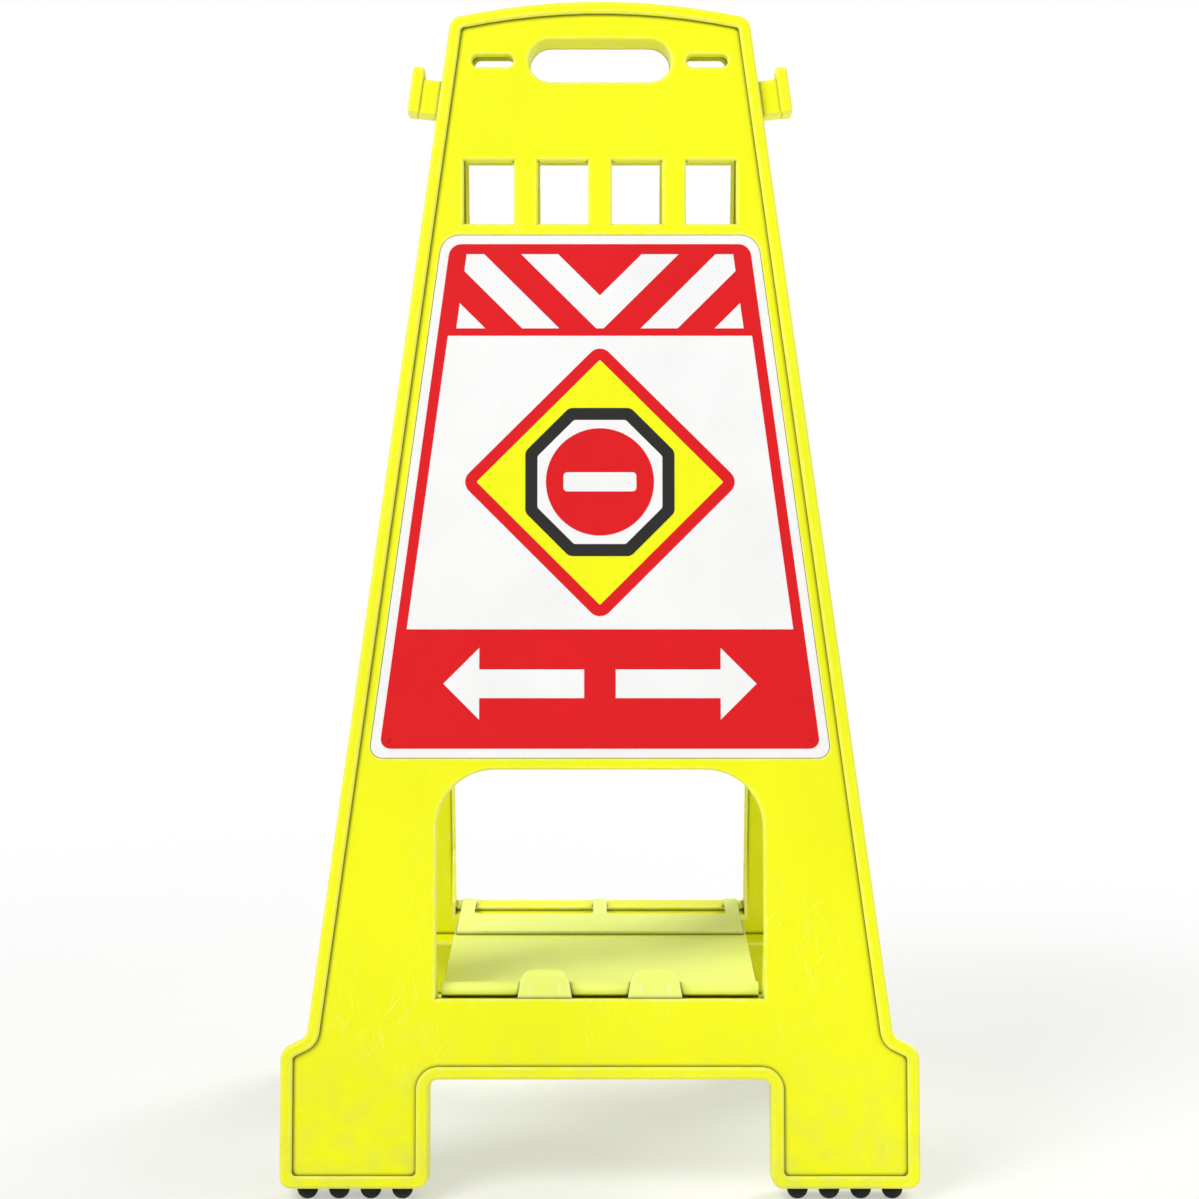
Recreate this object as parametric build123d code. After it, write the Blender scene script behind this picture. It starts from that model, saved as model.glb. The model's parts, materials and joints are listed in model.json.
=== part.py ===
"""Folding barricade sign stand: two moulded panels hinged at the crown, and a tray between their sills."""
from build123d import *
import math
import os

# Driving dimensions in millimetres and degrees. Heights run up the face of a panel from the foot's
# underside. Depths run through a panel: 0 is the inner edge of its rim, where two folded panels meet,
# and the outside is negative.

# Stance
LEAN = 11.5                   # lean of each panel when the stand is open
FOLD_GAP = 1.0                # between the rims of the folded panels
STOP_GAP = 0.6                # between the bevelled crowns of the open panels

# Panel outline
PANEL_HEIGHT = 831.0          # to the top of the arched crown
CROWN_RISE = 11.9
TOP_WIDTH = 211.8             # where the tapered sides meet the crown
CROWN_CORNER = 9.0
SHOULDER_INSET = 17.7         # from the side of a foot to the foot of the tapered side
SHOULDER_RISE = 8.6           # over the side of a foot
SHOULDER_CORNER = 7.0
FOOT_SPAN = 440.0             # across both feet
FOOT_SIDE_HEIGHT = 94.7
FOOT_TOP_CORNER = 12.0
FOOT_CORNER = 8.0
FOOT_WIDTH = 102.0
LEG_ARCH_HEIGHT = 74.2
LEG_ARCH_CORNER = 7.0

# Panel section
PANEL_DEPTH = 33.0
WALL = 3.2
RIM_WIDTH = 8.5
RIM_STEP = 3.5                # the face lies this far behind the crown of the rim
RIM_ROUND = 2.5
RIM_INNER_BEVEL = 1.2
INSET_CORNER = 3.0            # smallest corner radius of an inset outline
EDGE_BEVEL = 1.0              # front edges of the openings
LIP_DEPTH = 5.0               # return of an opening behind the face
LIP_WALL = 2.5

# Openings
WINDOW_WIDTH = 226.8
WINDOW_TALL = 158.2
WINDOW_CORNER = 40.0
BEAM_HEIGHT = 55.0            # from the arch between the legs up to the sill of the window
SILL_WALL = 4.0
GUSSET_RISE = 46.0            # walls at the ends of the sill run out into the window's lip
GUSSET_NOSE = 10.0            # height of those walls at the rim's inner edge
HANDLE_WIDTH = 100.8
HANDLE_OPENING = 30.8
HANDLE_DROP = 42.2            # from the top of the crown to the middle of the hand hole
HANDLE_TUBE_GAP = 4.0         # from the handle's return to the rim's inner edge
TIE_SLOT_WIDTH = 9.1
TIE_SLOT_GAP = 10.9           # from the end of the hand hole
TIE_SLOT_SIDE_GAP = 10.7      # from the inner side of the rim
VENT_COUNT = 4
VENT_WIDTH = 35.5
VENT_TALL = 45.5
VENT_PITCH = 52.3
VENT_DROP = 136.6             # from the top of the crown to the middle of the vents

# Ribs behind the face
RIB_WALL = 2.4
RIB_HEIGHT = 10.0             # from the back of the face
RIB_SPACING = 56.0
CROSS_RIB_COUNT = 4
BEAM_RIB_GAP = 4.0            # from the ribs under the sill to the rim's inner edge
LEG_RIB_HEIGHTS = (48.0, 100.0)
LEG_RIB_GAP = 9.0

# Sign sheet
SIGN_BOTTOM_GAP = 8.0         # over the window
SIGN_TOP_GAP = 8.35           # under the vents
SIGN_SIDE_MARGIN = 16.0
SIGN_TOP_CORNER = 14.0
SIGN_BOTTOM_CORNER = 8.0
SIGN_THICKNESS = 1.2
SIGN_SEAT = 0.8
SIGN_EDGE_GAP = 0.4

# Crown hinge
HINGE_DROP = 21.0             # from the top of the crown to the pins
PIN_DIAMETER = 6.0
PIN_CLEARANCE = 0.05
LUG_RADIUS = 6.5
LUG_LENGTH = 10.0
MIDDLE_LUG_LENGTH = 17.0
LUG_GAP = 0.5
PIN_HEAD_DIAMETER = 10.0
PIN_HEAD_LENGTH = 2.5
PIN_HEAD_GAP = 0.4
PIN_SIDE_GAP = 5.0            # from the pin's head to the side wall of the panel
PIN_TAIL = 3.0                # past the first lug
CLIP_DIAMETER = 10.0
CLIP_THICKNESS = 1.2
CLIP_GAP = 0.4
CLIP_GROOVE_DEPTH = 0.6
CLIP_MOUTH = 4.4

# Tray hinge on the front sill
BEAD_DIAMETER = 11.0
BEAD_GAP = 0.4                # over the sill
BEAD_DEPTH = 13.0             # from the rim's inner edge
SADDLE_CLEARANCE = 0.3
SADDLE_WIDTH = 37.8           # at its foot
SADDLE_RISE = 19.9
SADDLE_DRAFT = 10.0           # lean of its sides, in degrees
SADDLE_CORNER = 9.5
SADDLE_OFFSET = 38.2
SADDLE_BACK_WALL = 3.7
SADDLE_FRONT_WALL = 7.7
SADDLE_ROUND = 5.0
SCREW_SPACING = 20.0
SCREW_DIAMETER = 4.0
SCREW_CLEARANCE = 0.05
SCREW_HOLE_GAP = 0.3
SCREW_LENGTH = 14.0
SCREW_HEAD_DIAMETER = 6.4
SCREW_HEAD_LENGTH = 2.6
SCREW_HEAD_BEVEL = 0.9
SCREW_SOCKET = 2.4            # across the corners of the driver's recess
SCREW_RECESS = 1.6

# Tray
TRAY_SIDE_GAP = 3.4           # to the sides of the windows
FLOOR_DROP = 3.0              # floor's top below the bead's axis
FLOOR_WALL = 2.5
FLOOR_END_GAP = 42.0          # floor's end to the rear sill
FLOOR_CORNER = 8.0
PLATE_INSET = 2.0             # from the side of the floor to the side of the raised plate
PLATE_LENGTH = 118.0
PLATE_WALL = 2.5
FINGER_LENGTH = 57.0
FINGER_WIDTH = 10.4
FINGER_CORNER = 6.0
PEG_LENGTH = 5.5
PEG_GAP = 0.4
FINGER_NOSE = 4.5
RIDGE_INSET = 8.0             # rear sill's ridge, from the rim's inner edge
RIDGE_WIDTH = 3.0
RIDGE_RISE = 2.5
CATCH_GAP = 0.5
SADDLE_NOTCH_GAP = 1.2
TRAY_RIB_WALL = 2.2
TRAY_RIB_DEPTH = 7.5          # below the floor
TRAY_RIB_RUNOUT = 38.0
TRAY_RIB_START = 24.0
TRAY_RIB_SPACING = 54.0
TRAY_CROSS_RIBS = 3

# Foot pads
STUD_COUNT = 4
STUD_MARGIN = 18.3            # from the side of a foot to the middle of its first stud
STUD_DIAMETER = 14.5
STUD_SKIRT = 0.75             # straight part over the round end
STUD_WEAR = 0.5               # cut from the tips, so that they stand flat on the floor
STUD_NECK = 9.0
STUD_NECK_GAP = 0.3
PAD_THICKNESS = 5.0
PAD_GAP = 2.0                 # to the round corners of the sole and the rim's inner edge

# Chain hooks
HOOK_DROP = 68.5              # from the top of the crown to the middle of the stem
HOOK_REACH = 13.3             # from the side of the panel to the lip
HOOK_STEM_TALL = 25.5
HOOK_STEM_DEEP = 18.0
HOOK_LIP_THICK = 8.4
HOOK_LIP_RISE = 7.8           # above the stem
HOOK_LIP_DEEP = 22.0
HOOK_ROUND = 2.0
HOOK_SCREW_DIAMETER = 4.8
HOOK_SCREW_LENGTH = 14.0
HOOK_SCREW_HEAD_DIAMETER = 9.0
HOOK_SCREW_HEAD_LENGTH = 3.4
HOOK_WASHER_DIAMETER = 12.0
HOOK_WASHER_THICKNESS = 1.2

# Values that follow from the driving dimensions
CROWN_DEPTH = -PANEL_DEPTH
FACE_FRONT = CROWN_DEPTH + RIM_STEP
FACE_BACK = FACE_FRONT + WALL
LIP_BACK = FACE_BACK + LIP_DEPTH
RIB_BACK = FACE_BACK + RIB_HEIGHT
MID_DEPTH = CROWN_DEPTH / 2
HINGE_DEPTH = FOLD_GAP / 2
HINGE_HEIGHT = PANEL_HEIGHT - HINGE_DROP
HANDLE_HEIGHT = PANEL_HEIGHT - HANDLE_DROP
HOOK_HEIGHT = PANEL_HEIGHT - HOOK_DROP
VENT_HEIGHT = PANEL_HEIGHT - VENT_DROP
SILL_HEIGHT = LEG_ARCH_HEIGHT + BEAM_HEIGHT
WINDOW_TOP = SILL_HEIGHT + WINDOW_TALL
SIGN_BOTTOM = WINDOW_TOP + SIGN_BOTTOM_GAP
SIGN_TOP = VENT_HEIGHT - VENT_TALL / 2 - SIGN_TOP_GAP
CROWN_CORNER_HEIGHT = PANEL_HEIGHT - CROWN_RISE
CROWN_RADIUS = ((TOP_WIDTH / 2) ** 2 + CROWN_RISE ** 2) / (2 * CROWN_RISE)
SHOULDER_WIDTH = FOOT_SPAN - 2 * SHOULDER_INSET
SHOULDER_HEIGHT = FOOT_SIDE_HEIGHT + SHOULDER_RISE
PLATE_WIDTH = WINDOW_WIDTH - 2 * (TRAY_SIDE_GAP + PLATE_INSET)
LEG_GAP = FOOT_SPAN - 2 * FOOT_WIDTH
FOOT_MIDDLE = (FOOT_SPAN + LEG_GAP) / 4
SIDE_SLOPE = (SHOULDER_WIDTH - TOP_WIDTH) / 2 / (CROWN_CORNER_HEIGHT - SHOULDER_HEIGHT)
SIDE_TILT = math.degrees(math.atan(SIDE_SLOPE))
SIDE_COS = math.cos(math.radians(SIDE_TILT))
STUD_PITCH = (FOOT_WIDTH - 2 * STUD_MARGIN) / (STUD_COUNT - 1)
LEAN_SIN = math.sin(math.radians(LEAN))
LEAN_COS = math.cos(math.radians(LEAN))
LEAN_TAN = LEAN_SIN / LEAN_COS
STUD_TIP_HEIGHT = STUD_WEAR - STUD_SKIRT - STUD_DIAMETER / 2
HINGE_Z = (MID_DEPTH - HINGE_DEPTH) * LEAN_SIN + (HINGE_HEIGHT - STUD_TIP_HEIGHT) * LEAN_COS
OVERLAP = 0.5                 # how far a rib or lug runs into the wall that it grows from
SAME_LEVEL = 0.1              # faces closer than this are at the same depth
CUT = 400.0                   # longer than any cut needs

# Outline corners of the right half, from the arch between the legs round to the crown:
# half width, height, radius, and 1 where the corner points outwards or -1 where it points inwards
CORNERS = (
    (LEG_GAP / 2, LEG_ARCH_HEIGHT, LEG_ARCH_CORNER, -1),
    (LEG_GAP / 2, 0.0, FOOT_CORNER, 1),
    (FOOT_SPAN / 2, 0.0, FOOT_CORNER, 1),
    (FOOT_SPAN / 2, FOOT_SIDE_HEIGHT, FOOT_TOP_CORNER, 1),
    (SHOULDER_WIDTH / 2, SHOULDER_HEIGHT, SHOULDER_CORNER, -1),
    (TOP_WIDTH / 2, CROWN_CORNER_HEIGHT, CROWN_CORNER, 1),
)


def side_half_width(height):
    """Half width of the panel between its tapered sides at a height."""
    return SHOULDER_WIDTH / 2 - SIDE_SLOPE * (height - SHOULDER_HEIGHT)


# Strap slots between the hand hole and the rim
TIE_SLOT_END = side_half_width(HANDLE_HEIGHT) - RIM_WIDTH / SIDE_COS - TIE_SLOT_SIDE_GAP
TIE_SLOT_LENGTH = TIE_SLOT_END - TIE_SLOT_GAP - HANDLE_WIDTH / 2
TIE_SLOT_OFFSET = TIE_SLOT_END - TIE_SLOT_LENGTH / 2

# Ends of the row of lugs of a crown hinge, from the middle of the panel
LUG_END = side_half_width(HINGE_HEIGHT) - WALL / SIDE_COS - PIN_SIDE_GAP - PIN_HEAD_LENGTH - PIN_HEAD_GAP
LUG_START = LUG_END - 2 * (LUG_LENGTH + LUG_GAP) - MIDDLE_LUG_LENGTH


def front_point(depth, height):
    """Y and Z, in the open stand, of a point of the front panel."""
    back = depth - HINGE_DEPTH
    up = height - HINGE_HEIGHT
    return back * LEAN_COS + up * LEAN_SIN, HINGE_Z - back * LEAN_SIN + up * LEAN_COS


def front_place():
    """Location that leans a panel drawn upright into the front of the open stand."""
    return Pos(0, 0, HINGE_Z) * Rot(X=-LEAN) * Pos(0, -HINGE_DEPTH, -HINGE_HEIGHT)


def rear_place():
    """Location that leans a panel drawn upright into the rear of the open stand."""
    return Rot(Z=180) * front_place()


def slab(sketch, outer, inner):
    """Solid of a sketch of width and height, between two depths."""
    return extrude(Plane.XZ.offset(-inner) * sketch, inner - outer)


def bar(sketch, start, end):
    """Solid of a sketch of depth and height, between two places along the width."""
    return extrude(Plane.YZ.offset(start) * sketch, end - start)


def block(width, depth, height):
    """Box between pairs of places along the width, depth and height."""
    sizes = [high - low for low, high in (width, depth, height)]
    middles = [(high + low) / 2 for low, high in (width, depth, height)]
    return Pos(*middles) * Box(*sizes)


def polygon(*points):
    """Face with straight sides through the points."""
    return make_face(Polyline(*points, close=True))


def rod(radius, start, end):
    """Cylinder along X between two places."""
    return Pos((start + end) / 2, 0, 0) * Rot(Y=90) * Cylinder(radius, end - start)


def corner_points(inset):
    """Sharp corners of the right half of the outline, drawn in by an inset."""
    corners = [Vector(-LEG_GAP / 2, LEG_ARCH_HEIGHT)]
    corners += [Vector(half, height) for half, height, radius, turn in CORNERS]
    sides = [(end - start).normalized() for start, end in zip(corners, corners[1:])]
    inward = [Vector(-side.Y, side.X) for side in sides]
    points = []
    for corner, before, after in zip(corners[1:-1], inward, inward[1:]):
        points.append(corner + (before + after) * (inset / (1 + before.dot(after))))
    from_centre = points[-1] - Vector(0, PANEL_HEIGHT - CROWN_RADIUS)
    along = from_centre.dot(sides[-1])
    chord = math.sqrt(along ** 2 - from_centre.dot(from_centre) + (CROWN_RADIUS - inset) ** 2)
    return points + [points[-1] + sides[-1] * (chord - along)]


def outline(inset=0.0):
    """Outline of the panel with rounded corners, drawn in by an inset."""
    right = corner_points(inset)
    left = [Vector(-point.X, point.Y) for point in reversed(right)]
    crown = ThreePointArc(right[-1], (0, PANEL_HEIGHT - inset), left[0])
    face = make_face(Polyline(*right) + crown + Polyline(*left) + Line(left[-1], right[0]))
    for point, (half, height, radius, turn) in zip(right, CORNERS):
        inset_radius = max(radius - turn * inset, INSET_CORNER)
        for side in (1, -1):
            corner = face.vertices().sort_by_distance((side * point.X, point.Y, 0))[0]
            face = fillet(corner, inset_radius)
    return face


def window(grow=0.0):
    """Window with round upper corners, grown by a wall."""
    tall = WINDOW_TOP - SILL_HEIGHT + 2 * grow
    face = Pos(0, (WINDOW_TOP + SILL_HEIGHT) / 2) * Rectangle(WINDOW_WIDTH + 2 * grow, tall)
    return fillet(face.vertices().group_by(Axis.Y)[-1], WINDOW_CORNER + grow)


def handle(grow=0.0):
    """Hand hole under the crown, grown by a wall."""
    return Pos(0, HANDLE_HEIGHT) * SlotOverall(HANDLE_WIDTH + 2 * grow, HANDLE_OPENING + 2 * grow)


def tie_slots(grow=0.0):
    """Strap slots on both sides of the hand hole."""
    slot = SlotOverall(TIE_SLOT_LENGTH + 2 * grow, TIE_SLOT_WIDTH + 2 * grow)
    return [Pos(side * TIE_SLOT_OFFSET, HANDLE_HEIGHT) * slot for side in (-1, 1)]


def vents(grow=0.0):
    """Row of upright vents above the sign."""
    hole = Rectangle(VENT_WIDTH + 2 * grow, VENT_TALL + 2 * grow)
    first = -VENT_PITCH * (VENT_COUNT - 1) / 2
    return [Pos(first + VENT_PITCH * index, VENT_HEIGHT) * hole for index in range(VENT_COUNT)]


def sign_outline(gap=0.0):
    """Outline of the sign sheet, whose sides run along the tapered sides of the panel."""
    low = SIGN_BOTTOM - gap
    high = SIGN_TOP + gap
    bottom = side_half_width(low) - SIGN_SIDE_MARGIN + gap / SIDE_COS
    top = side_half_width(high) - SIGN_SIDE_MARGIN + gap / SIDE_COS
    face = polygon((-bottom, low), (bottom, low), (top, high), (-top, high))
    face = fillet(face.vertices().group_by(Axis.Y)[-1], SIGN_TOP_CORNER + gap)
    return fillet(face.vertices().group_by(Axis.Y)[0], SIGN_BOTTOM_CORNER + gap)


def face_at(solid, depth):
    """Largest flat face of a panel that looks outwards at a depth."""
    flats = solid.faces().filter_by(Axis.Y)
    level = flats.filter_by(lambda flat: abs(flat.center().Y - depth) < SAME_LEVEL)
    return level.sort_by(SortBy.AREA)[-1]


def panel_shell():
    """Pan with a raised rim, its openings and the shallow seat of the sign sheet."""
    shell = slab(outline(), CROWN_DEPTH, 0)
    shell = fillet(face_at(shell, CROWN_DEPTH).edges(), RIM_ROUND)
    shell -= slab(outline(RIM_WIDTH), CROWN_DEPTH, FACE_FRONT)
    shell = chamfer(face_at(shell, CROWN_DEPTH).inner_wires()[0].edges(), RIM_INNER_BEVEL)
    shell -= slab(outline(WALL), FACE_BACK, 0)
    for opening in (window(), handle(), *tie_slots(), *vents()):
        shell -= slab(opening, CROWN_DEPTH, FACE_BACK)
    edges = [edge for wire in face_at(shell, FACE_FRONT).inner_wires() for edge in wire.edges()]
    shell = chamfer(edges, EDGE_BEVEL)
    return shell - slab(sign_outline(SIGN_EDGE_GAP), FACE_FRONT, FACE_FRONT + SIGN_SEAT)


def crown_bevel():
    """Wedge that is cut off the inner edge of the crown, where the open panels come together."""
    start = HINGE_DEPTH - STOP_GAP / 2
    rise = PANEL_HEIGHT + PANEL_DEPTH - HINGE_HEIGHT
    corner = (start - rise * LEAN_TAN, HINGE_HEIGHT + rise)
    wedge = polygon((start, HINGE_HEIGHT), corner, (PANEL_DEPTH, corner[1]), (PANEL_DEPTH, HINGE_HEIGHT))
    return bar(wedge, -FOOT_SPAN, FOOT_SPAN)


def opening_returns():
    """Walls that run back from the edges of the openings."""
    start = FACE_BACK - OVERLAP
    walls = slab(window(LIP_WALL) - window(), start, LIP_BACK)
    walls += slab(handle(LIP_WALL) - handle(), start, -HANDLE_TUBE_GAP)
    for outer, inner in zip(tie_slots(LIP_WALL) + vents(LIP_WALL), tie_slots() + vents()):
        walls += slab(outer - inner, start, LIP_BACK)
    return walls


def sill():
    """Shelf across the bottom of the window, with a wall at each end that runs out into the lip."""
    start = FACE_BACK - OVERLAP
    end = WINDOW_WIDTH / 2 + LIP_WALL
    under = SILL_HEIGHT - SILL_WALL
    shelf = block((-end, end), (start, 0), (under, SILL_HEIGHT))
    cheek = polygon((start, under), (0, under), (0, SILL_HEIGHT + GUSSET_NOSE),
                    (LIP_BACK, SILL_HEIGHT + GUSSET_RISE), (start, SILL_HEIGHT + GUSSET_RISE))
    return shelf + bar(cheek, end - LIP_WALL, end) + bar(cheek, -end, LIP_WALL - end)


def ribs():
    """Grid behind the sign, uprights under the sill and shelves across the legs."""
    start = FACE_BACK - OVERLAP
    half = RIB_WALL / 2
    bottom = WINDOW_TOP + LIP_WALL - OVERLAP
    top = VENT_HEIGHT - VENT_TALL / 2 - LIP_WALL + OVERLAP
    pieces = []
    for x in (-RIB_SPACING, 0, RIB_SPACING):
        pieces.append(block((x - half, x + half), (start, RIB_BACK), (bottom, top)))
        pieces.append(block((x - half, x + half), (start, -BEAM_RIB_GAP),
                            (LEG_ARCH_HEIGHT + OVERLAP, SILL_HEIGHT - OVERLAP)))
    for index in range(CROSS_RIB_COUNT):
        level = SIGN_BOTTOM + (SIGN_TOP - SIGN_BOTTOM) * (index + 0.5) / CROSS_RIB_COUNT
        pieces.append(block((-FOOT_SPAN, FOOT_SPAN), (start, RIB_BACK), (level - half, level + half)))
    for level in LEG_RIB_HEIGHTS:
        for side in (-1, 1):
            span = sorted((side * (WINDOW_WIDTH / 2 + OVERLAP), side * FOOT_SPAN))
            pieces.append(block(span, (start, -LEG_RIB_GAP), (level - half, level + half)))
    inside = slab(outline(WALL - OVERLAP), start, 0)
    return [piece & inside for piece in pieces]


def hinge_lugs():
    """Lugs round the crown hinge: a pair on the right, and one on the left for the other panel's pair."""
    root = FACE_BACK - OVERLAP
    arm = Pos((root + HINGE_DEPTH) / 2, HINGE_HEIGHT) * Rectangle(HINGE_DEPTH - root, 2 * LUG_RADIUS)
    profile = arm + Pos(HINGE_DEPTH, HINGE_HEIGHT) * Circle(LUG_RADIUS)
    profile -= Pos(HINGE_DEPTH, HINGE_HEIGHT) * Circle(PIN_DIAMETER / 2 + PIN_CLEARANCE)
    middle = LUG_START + LUG_LENGTH + LUG_GAP
    spans = ((LUG_START, LUG_START + LUG_LENGTH), (LUG_END - LUG_LENGTH, LUG_END),
             (-middle - MIDDLE_LUG_LENGTH, -middle))
    return [bar(profile, start, end) for start, end in spans]


def stud_places():
    """Middles of the studs of both feet, along the width."""
    first = FOOT_MIDDLE - STUD_PITCH * (STUD_COUNT - 1) / 2
    return [[side * (first + STUD_PITCH * index) for index in range(STUD_COUNT)] for side in (-1, 1)]


def panel():
    """Moulded panel, alike at the front and the rear, drawn upright."""
    body = panel_shell() - crown_bevel()
    body = body + [opening_returns(), sill(), *ribs(), *hinge_lugs()]
    for foot in stud_places():
        for x in foot:
            body -= Pos(x, MID_DEPTH, 0) * Cylinder(STUD_NECK / 2 + STUD_NECK_GAP, 2 * (WALL + OVERLAP))
    return body


def hook_place(side):
    """Location of a chain hook's foot: X out of the side of the panel, Z up along it."""
    out = Pos(side_half_width(HOOK_HEIGHT), MID_DEPTH, HOOK_HEIGHT) * Rot(Y=-SIDE_TILT)
    return out if side > 0 else Rot(Z=180) * Pos(0, -2 * MID_DEPTH, 0) * out


def saddle_screw_places():
    """Width and depth of the screws that hold both saddles on the front sill."""
    depth = -BEAD_DEPTH - BEAD_DIAMETER / 2 - SADDLE_CLEARANCE - SADDLE_FRONT_WALL / 2
    middles = (-SADDLE_OFFSET, SADDLE_OFFSET)
    return [(middle + side * SCREW_SPACING / 2, depth) for middle in middles for side in (-1, 1)]


def front_panel():
    """Front panel, drilled for the chain hooks and for the saddles of the tray."""
    body = panel()
    hook_hole = rod(HOOK_SCREW_DIAMETER / 2 + SCREW_HOLE_GAP, -WALL - OVERLAP, OVERLAP)
    for side in (-1, 1):
        body -= hook_place(side) * hook_hole
    saddle_hole = Cylinder(SCREW_DIAMETER / 2 + SCREW_HOLE_GAP, 2 * (SILL_WALL + OVERLAP))
    for x, depth in saddle_screw_places():
        body -= Pos(x, depth, SILL_HEIGHT) * saddle_hole
    return front_place() * body


def rear_panel():
    """Rear panel, with the ridge on its sill that the tray drops behind."""
    half = WINDOW_WIDTH / 2
    ridge = block((-half, half), (-RIDGE_INSET - RIDGE_WIDTH, -RIDGE_INSET),
                  (SILL_HEIGHT - OVERLAP, SILL_HEIGHT + RIDGE_RISE))
    return rear_place() * (panel() + ridge)


def sign_sheet():
    """Printed plastic sheet in the shallow seat of the face."""
    seat = FACE_FRONT + SIGN_SEAT
    return slab(sign_outline(), seat - SIGN_THICKNESS, seat)


def hinge_pin():
    """Headed steel pin of the right crown hinge, grooved for its clip."""
    radius = PIN_DIAMETER / 2
    start = LUG_START - PIN_TAIL
    end = LUG_END + PIN_HEAD_GAP
    groove = LUG_START - CLIP_GAP - CLIP_THICKNESS
    pin = rod(radius, start, end) + rod(PIN_HEAD_DIAMETER / 2, end, end + PIN_HEAD_LENGTH)
    pin -= rod(radius + CLIP_GROOVE_DEPTH, groove, groove + CLIP_THICKNESS)
    pin += rod(radius - CLIP_GROOVE_DEPTH, groove - OVERLAP, groove + CLIP_THICKNESS + OVERLAP)
    return Pos(0, 0, HINGE_Z) * pin


def hinge_clip():
    """Open spring clip in the groove of the pin."""
    inner = PIN_DIAMETER / 2 - CLIP_GROOVE_DEPTH
    start = LUG_START - CLIP_GAP - CLIP_THICKNESS
    clip = rod(CLIP_DIAMETER / 2, start, start + CLIP_THICKNESS) - rod(inner, start, start + CLIP_THICKNESS)
    mouth = block((start, start + CLIP_THICKNESS), (-CLIP_MOUTH / 2, CLIP_MOUTH / 2), (-CLIP_DIAMETER, 0))
    return Pos(0, 0, HINGE_Z) * (clip - mouth)


def saddle(side):
    """Arched block that holds the tray's bead down on the front sill, open underneath."""
    bead_radius = BEAD_DIAMETER / 2 + SADDLE_CLEARANCE
    back = -BEAD_DEPTH + bead_radius + SADDLE_BACK_WALL
    front = -BEAD_DEPTH - bead_radius - SADDLE_FRONT_WALL
    middle = SILL_HEIGHT + SADDLE_RISE / 2
    top = SILL_HEIGHT + SADDLE_RISE
    foot_half = SADDLE_WIDTH / 2
    top_half = foot_half - SADDLE_RISE * math.tan(math.radians(SADDLE_DRAFT))
    arch = polygon((-foot_half, SILL_HEIGHT), (foot_half, SILL_HEIGHT), (top_half, top), (-top_half, top))
    arch = fillet(arch.vertices().group_by(Axis.Y)[-1], SADDLE_CORNER)
    section = Pos((front + back) / 2, middle) * Rectangle(back - front, SADDLE_RISE)
    section = fillet(section.vertices().group_by(Axis.Y)[-1], SADDLE_ROUND)
    axis_height = SILL_HEIGHT + BEAD_GAP + BEAD_DIAMETER / 2
    section -= Pos(-BEAD_DEPTH, axis_height) * Circle(bead_radius)
    section -= Pos(-BEAD_DEPTH, axis_height - SADDLE_RISE / 2) * Rectangle(2 * bead_radius, SADDLE_RISE)
    body = slab(arch, front, back) & bar(section, -SADDLE_WIDTH, SADDLE_WIDTH)
    body = Pos(side * SADDLE_OFFSET, 0, 0) * body
    hole_depth = SCREW_LENGTH - SILL_WALL + SCREW_CLEARANCE
    hole = Cylinder(SCREW_DIAMETER / 2 + SCREW_CLEARANCE, 2 * hole_depth)
    for x, depth in saddle_screw_places():
        body -= Pos(x, depth, SILL_HEIGHT) * hole
    return front_place() * body


def pan_screw(radius, length, head_radius, head_length):
    """Screw along Z with its seat at the origin and a bevelled head below, recessed for a driver."""
    head = Pos(0, 0, -head_length / 2) * Cylinder(head_radius, head_length)
    head = chamfer(head.edges().sort_by(Axis.Z)[0], SCREW_HEAD_BEVEL)
    head -= Pos(0, 0, -head_length) * extrude(RegularPolygon(SCREW_SOCKET / 2, 6), SCREW_RECESS)
    return head + Pos(0, 0, length / 2) * Cylinder(radius, length)


def saddle_screws():
    """Screws through the sill into the saddles."""
    screw = pan_screw(SCREW_DIAMETER / 2, SCREW_LENGTH, SCREW_HEAD_DIAMETER / 2, SCREW_HEAD_LENGTH)
    seat = SILL_HEIGHT - SILL_WALL
    places = [front_place() * Pos(x, depth, seat) for x, depth in saddle_screw_places()]
    return Compound(children=[place * screw for place in places])


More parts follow.
